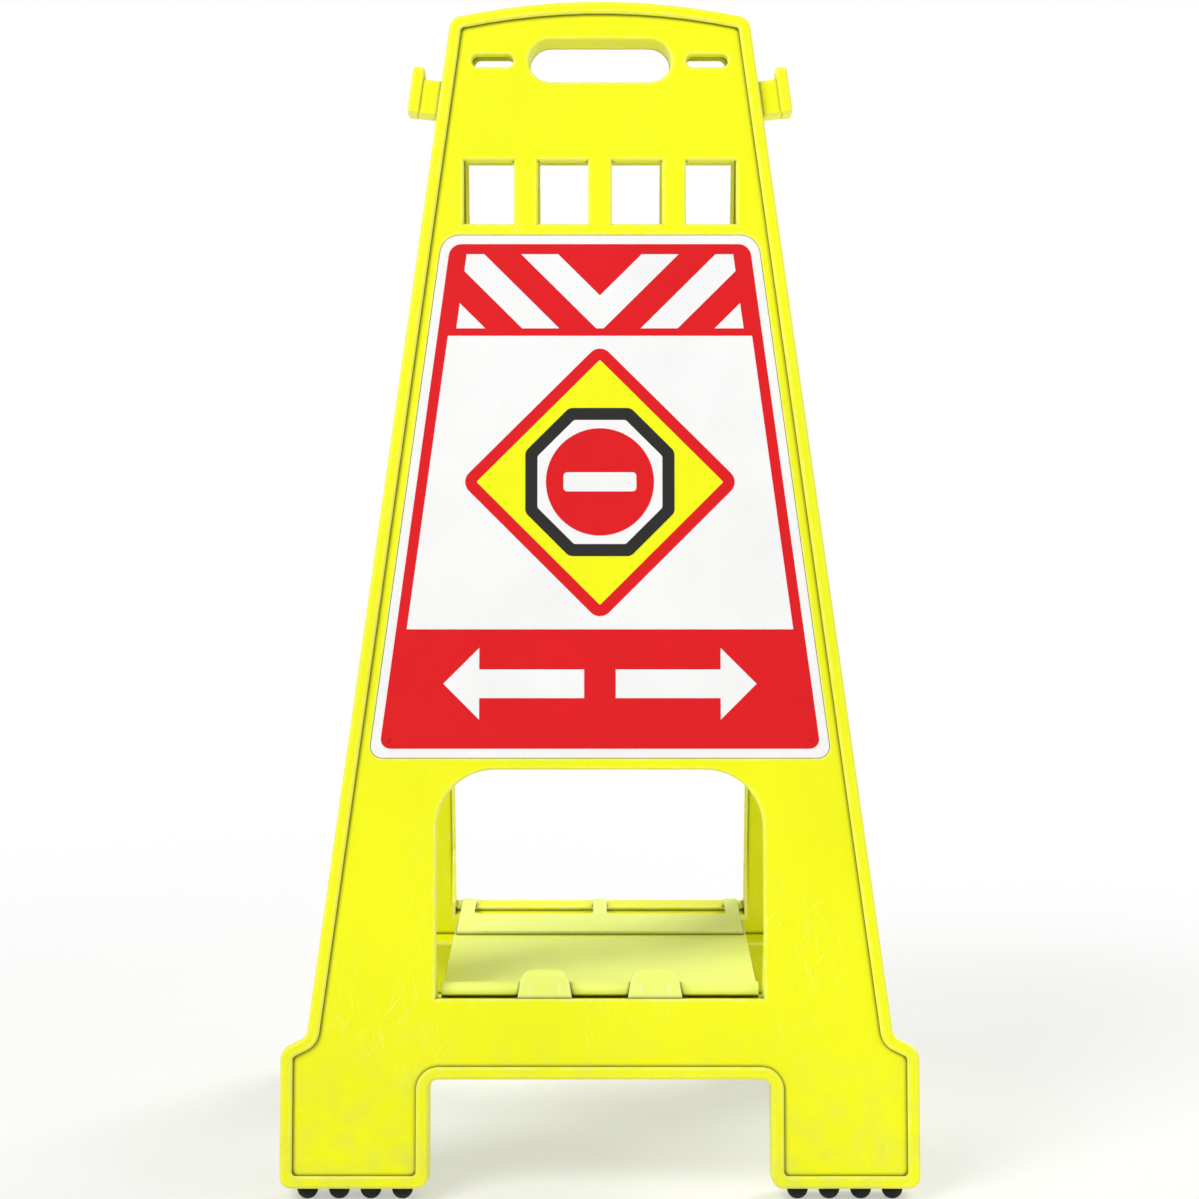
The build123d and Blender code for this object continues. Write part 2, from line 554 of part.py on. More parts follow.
def tray():
    """Tray that turns on a bead in the front saddles and drops its fingers behind the rear ridge."""
    radius = BEAD_DIAMETER / 2
    bead_y, bead_z = front_point(-BEAD_DEPTH, SILL_HEIGHT + BEAD_GAP + radius)
    sill_y, sill_z = front_point(0, SILL_HEIGHT)
    ridge_y = front_point(-RIDGE_INSET - RIDGE_WIDTH, SILL_HEIGHT)[0]
    half = WINDOW_WIDTH / 2 - TRAY_SIDE_GAP
    floor_end = -sill_y - bead_y - FLOOR_END_GAP
    peg = -ridge_y - bead_y + CATCH_GAP
    tip = peg + PEG_LENGTH + FINGER_NOSE
    floor_low = -FLOOR_DROP - FLOOR_WALL

    body = rod(radius, -half, half) + block((-half, half), (0, radius), (floor_low, 0))
    floor = Pos(0, floor_end / 2) * Rectangle(2 * half, floor_end)
    floor = fillet(floor.vertices().group_by(Axis.Y)[-1], FLOOR_CORNER)
    body += Pos(0, 0, floor_low) * extrude(floor, FLOOR_WALL)
    body += Pos(0, 0, floor_low) * extrude(hook_plate(tip), -floor_low)
    body -= block((-half, half), (floor_end, CUT), (floor_low, -PLATE_WALL))

    peg_ends = (peg, peg + PEG_LENGTH)
    peg_feet = [sill_z - bead_z + (y + bead_y + sill_y) * LEAN_TAN + PEG_GAP for y in peg_ends]
    peg_side = polygon((peg_ends[0], -OVERLAP), (peg_ends[1], -OVERLAP),
                       (peg_ends[1], peg_feet[1]), (peg_ends[0], peg_feet[0]))
    outer = PLATE_WIDTH / 2 - FINGER_WIDTH
    for start in (-outer - FINGER_WIDTH, -FINGER_WIDTH / 2, outer):
        body += bar(peg_side, start, start + FINGER_WIDTH)
    body += tray_ribs(half, floor_low, floor_end)

    reach = math.hypot(SADDLE_RISE, BEAD_DIAMETER / 2 + SADDLE_CLEARANCE + SADDLE_BACK_WALL)
    notch_half = SADDLE_WIDTH / 2 + SADDLE_NOTCH_GAP
    for x in (-SADDLE_OFFSET, SADDLE_OFFSET):
        notch = block((x - notch_half, x + notch_half), (-radius, reach), (-CUT, CUT))
        body -= notch - rod(radius, -half, half)
    return Pos(0, bead_y, bead_z) * body


def hook_plate(tip):
    """Plan of the raised plate at the tray's end, cut into fingers."""
    start = tip - PLATE_LENGTH
    plate = Pos(0, (start + tip) / 2) * Rectangle(PLATE_WIDTH, PLATE_LENGTH)
    slot_width = (PLATE_WIDTH - 3 * FINGER_WIDTH) / 2
    slot_middle = (slot_width + FINGER_WIDTH) / 2
    for side in (-1, 1):
        slot = Pos(side * slot_middle, tip) * Rectangle(slot_width, 2 * FINGER_LENGTH)
        plate -= fillet(slot.vertices().group_by(Axis.Y)[0], FINGER_CORNER)
    return plate


def tray_ribs(half, floor_low, floor_end):
    """Fish-bellied ribs along the underside of the tray and straight ones across it."""
    low = floor_low - TRAY_RIB_DEPTH
    end = floor_end - TRAY_RIB_START
    belly = polygon((TRAY_RIB_START, floor_low + OVERLAP), (end, floor_low + OVERLAP), (end, floor_low),
                    (end - TRAY_RIB_RUNOUT, low), (TRAY_RIB_START + TRAY_RIB_RUNOUT, low),
                    (TRAY_RIB_START, floor_low))
    wall = TRAY_RIB_WALL
    starts = [index * TRAY_RIB_SPACING - wall / 2 for index in (-1, 0, 1)] + [-half, half - wall]
    pieces = [bar(belly, start, start + wall) for start in starts]
    first = TRAY_RIB_START + TRAY_RIB_RUNOUT
    step = (end - TRAY_RIB_RUNOUT - first) / (TRAY_CROSS_RIBS - 1)
    for index in range(TRAY_CROSS_RIBS):
        start = first + step * index - wall / 2
        pieces.append(block((-half, half), (start, start + wall), (low, floor_low + OVERLAP)))
    return pieces


def foot_pad(side):
    """Rubber pad inside a foot, with studs that reach through the sole to the floor."""
    radius = STUD_DIAMETER / 2
    dome = Sphere(radius, arc_size2=0, align=(Align.CENTER, Align.CENTER, Align.MAX))
    stud = Pos(0, 0, -STUD_SKIRT) * dome
    stud += Pos(0, 0, -STUD_SKIRT / 2) * Cylinder(radius, STUD_SKIRT)
    stud += Pos(0, 0, WALL / 2) * Cylinder(STUD_NECK / 2, WALL)
    margin = FOOT_CORNER + PAD_GAP
    span = sorted((side * (LEG_GAP / 2 + margin), side * (FOOT_SPAN / 2 - margin)))
    pad = block(span, (FACE_BACK + STUD_NECK_GAP, -PAD_GAP), (WALL, WALL + PAD_THICKNESS))
    for x in stud_places()[(side + 1) // 2]:
        pad += Pos(x, MID_DEPTH, 0) * stud
    return pad


def standing_pad(place, side):
    """Foot pad of the open stand, with the tips of its studs worn flat by the floor."""
    floor = block((-FOOT_SPAN, FOOT_SPAN), (-CUT, CUT), (-CUT, 0))
    return place * foot_pad(side) - floor


def chain_hook():
    """Hook with an upright lip, its foot at the origin and its stem along X."""
    stem = block((0, HOOK_REACH + OVERLAP), (-HOOK_STEM_DEEP / 2, HOOK_STEM_DEEP / 2),
                 (-HOOK_STEM_TALL / 2, HOOK_STEM_TALL / 2))
    lip = block((HOOK_REACH, HOOK_REACH + HOOK_LIP_THICK), (-HOOK_LIP_DEEP / 2, HOOK_LIP_DEEP / 2),
                (-HOOK_STEM_TALL / 2, HOOK_STEM_TALL / 2 + HOOK_LIP_RISE))
    stem = fillet(stem.edges().filter_by(Axis.X), HOOK_ROUND)
    lip = fillet(lip.edges(), HOOK_ROUND)
    depth = HOOK_SCREW_LENGTH - WALL - HOOK_WASHER_THICKNESS + SCREW_CLEARANCE
    return stem + lip - rod(HOOK_SCREW_DIAMETER / 2 + SCREW_CLEARANCE, 0, depth)


def hook_screw():
    """Screw from inside the panel into the hook's stem, in the hook's own frame."""
    screw = pan_screw(HOOK_SCREW_DIAMETER / 2, HOOK_SCREW_LENGTH,
                      HOOK_SCREW_HEAD_DIAMETER / 2, HOOK_SCREW_HEAD_LENGTH)
    return Pos(-WALL - HOOK_WASHER_THICKNESS, 0, 0) * Rot(Y=90) * screw


def hook_washer():
    """Washer under the head of a hook's screw, in the hook's own frame."""
    inner = HOOK_SCREW_DIAMETER / 2 + SCREW_CLEARANCE
    ends = (-WALL - HOOK_WASHER_THICKNESS, -WALL)
    return rod(HOOK_WASHER_DIAMETER / 2, *ends) - rod(inner, *ends)


def build_parts():
    """Every sub-part of the open stand, by name."""
    turn = Rot(Z=180)
    parts = {
        "front_panel": front_panel(),
        "rear_panel": rear_panel(),
        "front_sign_sheet": front_place() * sign_sheet(),
        "rear_sign_sheet": rear_place() * sign_sheet(),
        "spreader_tray": tray(),
        "saddle_screws": saddle_screws(),
        "hinge_pin_right": hinge_pin(),
        "hinge_pin_left": turn * hinge_pin(),
        "hinge_clip_right": hinge_clip(),
        "hinge_clip_left": turn * hinge_clip(),
    }
    hooks = {side: front_place() * hook_place(side) for side in (-1, 1)}
    for side, name in ((-1, "left"), (1, "right")):
        parts["tray_saddle_" + name] = saddle(side)
        parts["chain_hook_" + name] = hooks[side] * chain_hook()
        parts["foot_pad_front_" + name] = standing_pad(front_place(), side)
        parts["foot_pad_rear_" + name] = standing_pad(rear_place(), -side)
    parts["hook_screws"] = Compound(children=[place * hook_screw() for place in hooks.values()])
    parts["hook_washers"] = Compound(children=[place * hook_washer() for place in hooks.values()])
    return parts


def main():
    """Write one file for each sub-part."""
    os.makedirs("parts", exist_ok=True)
    for name, shape in build_parts().items():
        export_step(shape, f"parts/{name}.step")


if __name__ == "__main__":
    main()
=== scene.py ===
"""Looks of a folding barricade sign stand: moulded plastic, printed films, rubber feet and a pale studio."""

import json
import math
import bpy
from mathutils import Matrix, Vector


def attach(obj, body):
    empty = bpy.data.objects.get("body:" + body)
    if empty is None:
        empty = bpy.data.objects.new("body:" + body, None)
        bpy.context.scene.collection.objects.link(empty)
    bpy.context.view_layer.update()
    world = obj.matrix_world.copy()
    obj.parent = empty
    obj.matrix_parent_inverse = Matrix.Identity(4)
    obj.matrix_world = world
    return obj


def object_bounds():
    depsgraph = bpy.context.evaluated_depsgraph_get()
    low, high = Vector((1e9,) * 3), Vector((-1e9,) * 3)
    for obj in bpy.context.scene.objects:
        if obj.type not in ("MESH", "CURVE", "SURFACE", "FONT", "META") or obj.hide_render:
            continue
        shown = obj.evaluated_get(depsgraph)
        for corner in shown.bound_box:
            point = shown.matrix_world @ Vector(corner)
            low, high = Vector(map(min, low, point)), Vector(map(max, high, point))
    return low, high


bl_info = {
    "name": "Barricade Sign Stand",
    "version": (1, 0, 0),
    "blender": (4, 5, 0),
    "location": "View3D > Sidebar > Sign Stand",
    "description": "Finishes a folding sign stand and lays printed films on its sign sheets",
    "category": "Object",
}

import bmesh
import bpy
from bpy.props import FloatProperty, FloatVectorProperty, PointerProperty
from mathutils import Matrix, Vector

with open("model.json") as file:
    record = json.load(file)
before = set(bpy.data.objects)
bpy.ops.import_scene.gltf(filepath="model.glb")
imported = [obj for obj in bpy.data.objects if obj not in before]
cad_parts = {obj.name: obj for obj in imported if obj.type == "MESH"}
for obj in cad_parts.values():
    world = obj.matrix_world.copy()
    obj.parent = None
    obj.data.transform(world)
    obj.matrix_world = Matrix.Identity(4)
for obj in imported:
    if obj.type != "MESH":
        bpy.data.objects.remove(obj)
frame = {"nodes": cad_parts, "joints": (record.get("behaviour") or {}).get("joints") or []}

CAD_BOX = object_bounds()
BODIES = {"front": "front_frame", "rear": "rear_frame"}
SIDES = ("left", "right")

# Modelling of the films
MERGE = 0.000005             # points this near become one, in metres
STRAIGHT = math.radians(1)   # edges that turn by less are one edge
CORNER_STEPS = 8
BAR_CORNER_STEPS = 5
DISC_CORNERS = 72

# Stretches of a noise value over which a mark or a tone fades in
WHOLE = (0.30, 0.70)
MIDDLE = (0.35, 0.65)
CHIPS = (0.35, 0.62)
SPECKS = (0.40, 0.72)
STAINS = (0.40, 0.70)
PATCHES = (0.50, 0.66)
SCRATCHES = (0.61, 0.70)

# Stretches of other values: open space in an inner corner (for the painted shade there) and inside an outer
# edge (for the pale edges), and a wave's crest
CORNER_SPACE = (0.48, 0.90)
EDGE_SPACE = (0.80, 0.97)
CREST = (0.90, 1.0)

NONE_TO_ALL = (0.0, 1.0)
ALL_TO_NONE = (1.0, 0.0)

# Tones of a material, as shares of its own colour
FLOW_TONES = (0.955, 1.02)
FILM_TONES = (0.965, 1.01)
RUBBER_TONES = (0.8, 1.7)
STEEL_TONES = (1.0, 0.78)
# Tone of the painted shade in inner corners
CORNER_SHADE_TONE = 0.06
SEAM_TONE = 0.72

# Other facts of the finishes
# Pale share also serves the pale outer edges, which are partly wear and partly painted highlight
PALE_SHARE = 0.55    # of white in scuffed and worn plastic
SCUFF_TURNS = (math.radians(14), math.radians(-38))
FLOW_STRETCH = 2.0   # height of a flow mark over its width
WAVE_PHASE = 20.0    # of the wave texture over one metre at a scale of 1, in radians
CORNER_RAYS = 8
EDGE_RAYS = 6

# Studio: place and width of each lamp in metres, and the camera's sensor in millimetres
LAMPS = {
    "key": ((-2.4, -2.6, 3.6), 2.2),
    "fill": ((3.2, -2.0, 1.9), 2.6),
    "rear": ((2.2, 3.0, 2.8), 2.2),
}
SENSOR_WIDTH = 36.0
WHITE = (1.0, 1.0, 1.0, 1.0)

# Directions of the front panel in the open stand: out of its face and up along it
REAR_FOLD = next(joint for joint in frame["joints"] if joint["name"] == "rear_fold")
LEAN = math.radians(REAR_FOLD["range_deg"][1]) / 2
FRONT_OUT = Vector((0, -math.cos(LEAN), math.sin(LEAN)))
FRONT_UP = Vector((0, math.sin(LEAN), math.cos(LEAN)))


def reach(name, direction):
    """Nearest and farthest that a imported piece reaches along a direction, in metres."""
    steps = [vertex.co.dot(direction) for vertex in frame["nodes"][name].data.vertices]
    return min(steps), max(steps)


# Underside of the front panel's feet, the crown of its rim, and the edges and face of its sign sheet
PANEL_LOW = reach("front_panel", FRONT_UP)[0]
PANEL_OUT = reach("front_panel", FRONT_OUT)[1]
SHEET_LOW, SHEET_HIGH = reach("front_sign_sheet", FRONT_UP)
SHEET_HEIGHT = SHEET_HIGH - SHEET_LOW
SHEET_OUT = reach("front_sign_sheet", FRONT_OUT)[1]
SHEET_TURN = Matrix.Rotation(math.pi / 2 - LEAN, 4, "X")
SHEET_PLACE = Matrix.Translation(FRONT_UP * SHEET_LOW + FRONT_OUT * SHEET_OUT) @ SHEET_TURN


class SignSizes(bpy.types.PropertyGroup):
    """Sizes of the printed design on the sign sheets."""

    side_taper: FloatProperty(
        name="Side taper", description="Lean of the sheet's sides towards its top",
        default=math.radians(7.67), subtype="ANGLE")
    film: FloatProperty(
        name="Film", description="Thickness of one printed film", default=0.00013,
        unit="LENGTH", precision=5)
    edge: FloatProperty(
        name="Edge", description="White edge outside the border", default=0.0063, unit="LENGTH")
    border: FloatProperty(
        name="Border", description="Width of the red border", default=0.0072, unit="LENGTH")
    border_corner: FloatProperty(
        name="Border corner", description="Corner radius of the border", default=0.0078, unit="LENGTH")
    stripe_band: FloatProperty(
        name="Stripe band", description="Height of the striped band at the top",
        default=0.058, unit="LENGTH")
    stripe_margin: FloatProperty(
        name="Stripe margin", description="Red left round the stripes", default=0.0052, unit="LENGTH")
    stripe: FloatProperty(
        name="Stripe", description="Width of one white stripe, measured level", default=0.026, unit="LENGTH")
    arrow_band: FloatProperty(
        name="Arrow band", description="Height of the arrow band at the bottom",
        default=0.076, unit="LENGTH")
    arrow_length: FloatProperty(
        name="Arrow length", description="Length of each arrow", default=0.098, unit="LENGTH")
    arrow_head: FloatProperty(
        name="Arrow head", description="Height of an arrow's head", default=0.050, unit="LENGTH")
    arrow_shaft: FloatProperty(
        name="Arrow shaft", description="Height of an arrow's shaft", default=0.020, unit="LENGTH")
    arrow_gap: FloatProperty(
        name="Arrow gap", description="Gap between the tails of the arrows", default=0.022, unit="LENGTH")
    diamond: FloatProperty(
        name="Diamond", description="Half diagonal of the diamond", default=0.098, unit="LENGTH")
    diamond_edge: FloatProperty(
        name="Diamond edge", description="Width of the diamond's outline", default=0.0082, unit="LENGTH")
    diamond_corner: FloatProperty(
        name="Diamond corner", description="Corner cut of the diamond's outline",
        default=0.009, unit="LENGTH")
    diamond_inner_corner: FloatProperty(
        name="Diamond inner corner", description="Corner cut of the diamond inside its outline",
        default=0.002, unit="LENGTH")
    octagon: FloatProperty(
        name="Octagon", description="Outer radius of the octagon", default=0.0565, unit="LENGTH")
    octagon_edge: FloatProperty(
        name="Octagon edge", description="Width of the octagon's outline", default=0.0085, unit="LENGTH")
    octagon_corner: FloatProperty(
        name="Octagon corner", description="Corner cut of the octagon's outline",
        default=0.0024, unit="LENGTH")
    octagon_inner_corner: FloatProperty(
        name="Octagon inner corner", description="Corner cut of the octagon inside its outline",
        default=0.0012, unit="LENGTH")
    disc: FloatProperty(
        name="Disc", description="Radius of the disc", default=0.0378, unit="LENGTH")
    bar_length: FloatProperty(
        name="Bar length", description="Length of the bar on the disc", default=0.051, unit="LENGTH")
    bar_height: FloatProperty(
        name="Bar height", description="Height of the bar on the disc", default=0.0135, unit="LENGTH")
    bar_corner: FloatProperty(
        name="Bar corner", description="Corner radius of the bar on the disc", default=0.0027, unit="LENGTH")


class FinishColours(bpy.types.PropertyGroup):
    """Colours of the stand's materials."""

    panel: FloatVectorProperty(
        name="Panel", description="Panels, hooks and yellow film", subtype="COLOR", size=3, min=0, max=1,
        default=(0.930, 0.945, 0.002))
    tray: FloatVectorProperty(
        name="Tray", description="Tray and saddles", subtype="COLOR", size=3, min=0, max=1,
        default=(0.890, 0.975, 0.185))
    red: FloatVectorProperty(
        name="Red", description="Red film", subtype="COLOR", size=3, min=0, max=1,
        default=(0.740, 0.002, 0.006))
    white: FloatVectorProperty(
        name="White", description="Sign sheets and white film", subtype="COLOR", size=3, min=0, max=1,
        default=(0.93, 0.93, 0.925))
    black: FloatVectorProperty(
        name="Black", description="Black film", subtype="COLOR", size=3, min=0, max=1,
        default=(0.009, 0.010, 0.008))
    rubber: FloatVectorProperty(
        name="Rubber", description="Foot pads", subtype="COLOR", size=3, min=0, max=1,
        default=(0.010, 0.011, 0.009))
    steel: FloatVectorProperty(
        name="Steel", description="Pins, clips, screws and washers", subtype="COLOR", size=3, min=0, max=1,
        default=(0.62, 0.63, 0.65))
    dust: FloatVectorProperty(
        name="Dust", description="Dust on the plastic near the floor", subtype="COLOR", size=3, min=0, max=1,
        default=(0.42, 0.39, 0.30))
    rubber_dust: FloatVectorProperty(
        name="Rubber dust", description="Dust on the foot pads", subtype="COLOR", size=3, min=0, max=1,
        default=(0.11, 0.105, 0.09))


class PlasticFinish(bpy.types.PropertyGroup):
    """Grain, marks and wear of the moulded plastic, with painted shade in its inner corners and pale edges
    that are partly wear and partly painted highlight.
    """

    edge: FloatProperty(
        name="Edge", description="Small round along every edge", default=0.0007, unit="LENGTH", precision=5)
    grain: FloatProperty(
        name="Grain", description="Width of one speck of the moulded grain", default=0.0008,
        unit="LENGTH", precision=5)
    grain_depth: FloatProperty(
        name="Grain depth", description="Depth of the moulded grain", default=0.00006,
        unit="LENGTH", precision=6)
    ripple: FloatProperty(
        name="Ripple", description="Width of the soft ripples, and of chips along the edges",
        default=0.007, unit="LENGTH")
    ripple_depth: FloatProperty(
        name="Ripple depth", description="Depth of the soft ripples", default=0.00004,
        unit="LENGTH", precision=6)
    flow: FloatProperty(
        name="Flow marks", description="Width of the cloudy flow marks", default=0.14, unit="LENGTH")
    scuff_width: FloatProperty(
        name="Scuff width", description="Width of one scuff", default=0.0009, unit="LENGTH", precision=5)
    scuff_length: FloatProperty(
        name="Scuff length", description="Length of one scuff", default=0.030, unit="LENGTH")
    scuff_patch: FloatProperty(
        name="Scuffed patch", description="Width of a patch with scuffs", default=0.085, unit="LENGTH")
    scuff: FloatProperty(
        name="Scuffs", description="Share of pale plastic in a scuff", default=0.32, min=0, max=1,
        subtype="FACTOR")
    scuff_rough: FloatProperty(
        name="Scuff roughness", description="Roughness that a full scuff adds", default=0.5, min=0, max=1,
        subtype="FACTOR")
    # Pale outer edges: partly wear in chips, partly a painted highlight along every edge, also where the
    # edge is sound
    wear_and_highlight_reach: FloatProperty(
        name="Wear reach", description="How far wear reaches in from an outer edge", default=0.0022,
        unit="LENGTH", precision=5)
    wear_and_highlight: FloatProperty(
        name="Wear", description="Share of pale plastic on a worn edge", default=0.45, min=0, max=1,
        subtype="FACTOR")
    least_wear_and_highlight: FloatProperty(
        name="Least wear", description="Share of pale plastic on a sound edge", default=0.1, min=0, max=1,
        subtype="FACTOR")
    dust_height: FloatProperty(
        name="Dust height", description="How far dust reaches up from the floor",
        default=0.13, unit="LENGTH")
    dust_patch: FloatProperty(
        name="Dust patch", description="Width of a patch of dust", default=0.018, unit="LENGTH")
    dust: FloatProperty(
        name="Dust", description="Share of dust at the floor", default=0.22, min=0, max=1, subtype="FACTOR")
    # Painted shade: the plastic's colour darkened in inner corners, where ambient occlusion finds them
    corner_shade_reach: FloatProperty(
        name="Crevice reach", description="How far dark reaches out of an inner corner", default=0.0034,
        unit="LENGTH", precision=5)
    corner_shade: FloatProperty(
        name="Crevices", description="Share of dark in an inner corner", default=0.94, min=0, max=1,
        subtype="FACTOR")
    panel_rough: FloatProperty(
        name="Panel roughness", description="Middle roughness of the panels and hooks", default=0.41,
        min=0, max=1, subtype="FACTOR")
    tray_rough: FloatProperty(
        name="Tray roughness", description="Middle roughness of the tray and saddles", default=0.45,
        min=0, max=1, subtype="FACTOR")
    rough_spread: FloatProperty(
        name="Roughness spread", description="Roughness more or less than the middle", default=0.06)
    shine: FloatProperty(
        name="Shine", description="Strength of reflections", default=0.32, min=0, max=1, subtype="FACTOR")


class FilmFinish(bpy.types.PropertyGroup):
    """Cells, clouds and wipe marks of the printed films."""

    edge: FloatProperty(
        name="Edge", description="Small round along every edge", default=0.00005, unit="LENGTH", precision=6)
    cell: FloatProperty(
        name="Cell", description="Width of one reflecting cell", default=0.005067,
        unit="LENGTH", precision=6)
    cell_turn: FloatProperty(
        name="Cell turn", description="Lean of the seams between the cells", default=math.radians(35),
        subtype="ANGLE")
    seam: FloatProperty(
        name="Seams", description="Share of dark in the seams between the cells", default=0.07, min=0, max=1,
        subtype="FACTOR")
    cloud: FloatProperty(
        name="Clouds", description="Width of the faint clouds", default=0.06, unit="LENGTH")
    wipe_length: FloatProperty(
        name="Wipe length", description="Length of one wipe mark", default=0.017, unit="LENGTH")
    wipe_height: FloatProperty(
        name="Wipe height", description="Height of one wipe mark", default=0.0035, unit="LENGTH")
    ripple: FloatProperty(
        name="Ripple", description="Width of the soft ripples", default=0.022, unit="LENGTH")
    ripple_depth: FloatProperty(
        name="Ripple depth", description="Depth of the soft ripples", default=0.00002,
        unit="LENGTH", precision=6)
    rough: FloatProperty(
        name="Roughness", description="Middle roughness", default=0.375, min=0, max=1, subtype="FACTOR")
    rough_spread: FloatProperty(
        name="Roughness spread", description="Roughness more or less than the middle", default=0.065)
    shine: FloatProperty(
        name="Shine", description="Strength of reflections", default=0.30, min=0, max=1, subtype="FACTOR")


class RubberFinish(bpy.types.PropertyGroup):
    """Pebbled skin and dust of the foot pads."""

    edge: FloatProperty(
        name="Edge", description="Small round along every edge", default=0.0005, unit="LENGTH", precision=5)
    pebble: FloatProperty(
        name="Pebble", description="Width of one pebble of the skin", default=0.0011,
        unit="LENGTH", precision=5)
    pebble_depth: FloatProperty(
        name="Pebble depth", description="Depth of the pebbled skin", default=0.00004,
        unit="LENGTH", precision=6)
    blotch: FloatProperty(
        name="Blotch", description="Width of the paler blotches", default=0.022, unit="LENGTH")
    dust_height: FloatProperty(
        name="Dust height", description="How far dust reaches up from the floor",
        default=0.006, unit="LENGTH")
    dust_patch: FloatProperty(
        name="Dust patch", description="Width of a patch of dust", default=0.0038,
        unit="LENGTH", precision=5)
    dust: FloatProperty(
        name="Dust", description="Share of dust at the floor", default=0.45, min=0, max=1, subtype="FACTOR")
    least_dust: FloatProperty(
        name="Least dust", description="Part of that share between the patches", default=0.2, min=0, max=1,
        subtype="FACTOR")
    rough: FloatProperty(
        name="Roughness", description="Middle roughness", default=0.72, min=0, max=1, subtype="FACTOR")
    rough_spread: FloatProperty(
        name="Roughness spread", description="Roughness more or less than the middle", default=0.10)
    shine: FloatProperty(
        name="Shine", description="Strength of reflections", default=0.22, min=0, max=1, subtype="FACTOR")


class SteelFinish(bpy.types.PropertyGroup):
    """Turning marks and stains of the plated steel."""

    edge: FloatProperty(
        name="Edge", description="Small round along every edge", default=0.0002, unit="LENGTH", precision=5)
    mark_width: FloatProperty(
        name="Mark width", description="Width of one turning mark", default=0.0003,
        unit="LENGTH", precision=5)
    mark_height: FloatProperty(
        name="Mark height", description="Height of one turning mark", default=0.0015,
        unit="LENGTH", precision=5)
    mark_depth: FloatProperty(
        name="Mark depth", description="Depth of the turning marks", default=0.000008,
        unit="LENGTH", precision=6)
    stain: FloatProperty(
        name="Stain", description="Width of the dull stains", default=0.008, unit="LENGTH")
    rough: FloatProperty(
        name="Roughness", description="Middle roughness", default=0.32, min=0, max=1, subtype="FACTOR")
    rough_spread: FloatProperty(
        name="Roughness spread", description="Roughness more or less than the middle", default=0.10)


class StageSizes(bpy.types.PropertyGroup):
    """Studio round the stand."""

    floor: FloatProperty(
        name="Floor", description="Width of the floor", default=60.0, unit="LENGTH")
    floor_tone: FloatProperty(
        name="Floor tone", description="Paleness of the floor", default=0.90, min=0, max=1, subtype="FACTOR")
    floor_rough: FloatProperty(
        name="Floor roughness", description="Roughness of the floor", default=0.85, min=0, max=1,
        subtype="FACTOR")
    floor_shine: FloatProperty(
        name="Floor shine", description="Strength of the floor's reflections", default=0.1, min=0, max=1,
        subtype="FACTOR")
    floor_glow: FloatProperty(
        name="Floor glow", description="Share of plain white in the floor beside the stand", default=0.45,
        min=0, max=1, subtype="FACTOR")
    backdrop_start: FloatProperty(
        name="Backdrop start", description="Distance from the stand where the floor begins to fade to white",
        default=0.55, unit="LENGTH")
    backdrop_end: FloatProperty(
        name="Backdrop end", description="Distance from the stand where the floor is plain white",
        default=1.35, unit="LENGTH")
    sky: FloatProperty(
        name="Sky", description="Strength of the even light", default=0.40)
    key: FloatProperty(
        name="Key", description="Power of the large lamp", default=124.0, unit="POWER")
    fill: FloatProperty(
        name="Fill", description="Power of the fill lamp", default=30.0, unit="POWER")
    rear: FloatProperty(
        name="Rear", description="Power of the lamp behind the stand", default=105.0, unit="POWER")
    camera_distance: FloatProperty(
        name="Camera distance", description="From the camera to the front panel", default=2.2, unit="LENGTH")
    camera_rise: FloatProperty(
        name="Camera rise", description="Angle of the camera above the level of its aim",
        default=math.radians(6.5), subtype="ANGLE")
    frame_width: FloatProperty(
        name="Frame width", description="Width that the picture shows at the front panel",
        default=0.835, unit="LENGTH")
    aim_height: FloatProperty(
        name="Aim height", description="Middle of the picture, up the panel from under its foot",
        default=0.4055, unit="LENGTH")
    aim_side: FloatProperty(
        name="Aim side", description="Middle of the picture, to the right of the stand's middle",
        default=-0.0003, unit="LENGTH")


# Shader building


def new_material(name):
    """Empty node material with one surface shader."""
    material = bpy.data.materials.new(name)
    material.use_nodes = True
    nodes = material.node_tree.nodes
    nodes.clear()
    output = nodes.new("ShaderNodeOutputMaterial")
    surface = nodes.new("ShaderNodeBsdfPrincipled")
    material.node_tree.links.new(surface.outputs["BSDF"], output.inputs["Surface"])
    return material, surface


def connect(material, value, socket):
    """Link an output to a socket, or set the socket to a plain value."""
    if isinstance(value, bpy.types.NodeSocket):
        material.node_tree.links.new(value, socket)
    else:
        socket.default_value = value


def set_inputs(material, made, inputs):
    """Set a node's inputs to values, or link them to other nodes' outputs."""
    for key, value in inputs.items():
        connect(material, value, made.inputs[key])


def node(material, kind, inputs=None, **settings):
    """New node with its settings and inputs."""
    made = material.node_tree.nodes.new(kind)
    for key, value in settings.items():
        setattr(made, key, value)
    set_inputs(material, made, inputs or {})
    return made


def place_of(material):
    """Object coordinates, which are metres of the stand's own frame."""
    return node(material, "ShaderNodeTexCoord").outputs["Object"]


def split(material, place):
    """The three coordinates of a place."""
    return node(material, "ShaderNodeSeparateXYZ", {"Vector": place}).outputs


def turned(material, place, turn):
    """Place turned about the origin."""
    return node(material, "ShaderNodeMapping", {"Vector": place, "Rotation": turn}).outputs["Vector"]


def noise(material, place, width, height=None, turn=0.0, detail=2.0):
    """Noise value at a place, in specks of a width, or of a width and a height that are turned together."""
    if height:
        place = turned(material, place, (0.0, turn, 0.0))
        stretch = (1.0, 1.0, width / height)
        place = node(material, "ShaderNodeMapping", {"Vector": place, "Scale": stretch}).outputs["Vector"]
    made = node(material, "ShaderNodeTexNoise", {"Vector": place, "Scale": 1.0 / width, "Detail": detail})
    return made.outputs["Fac"]


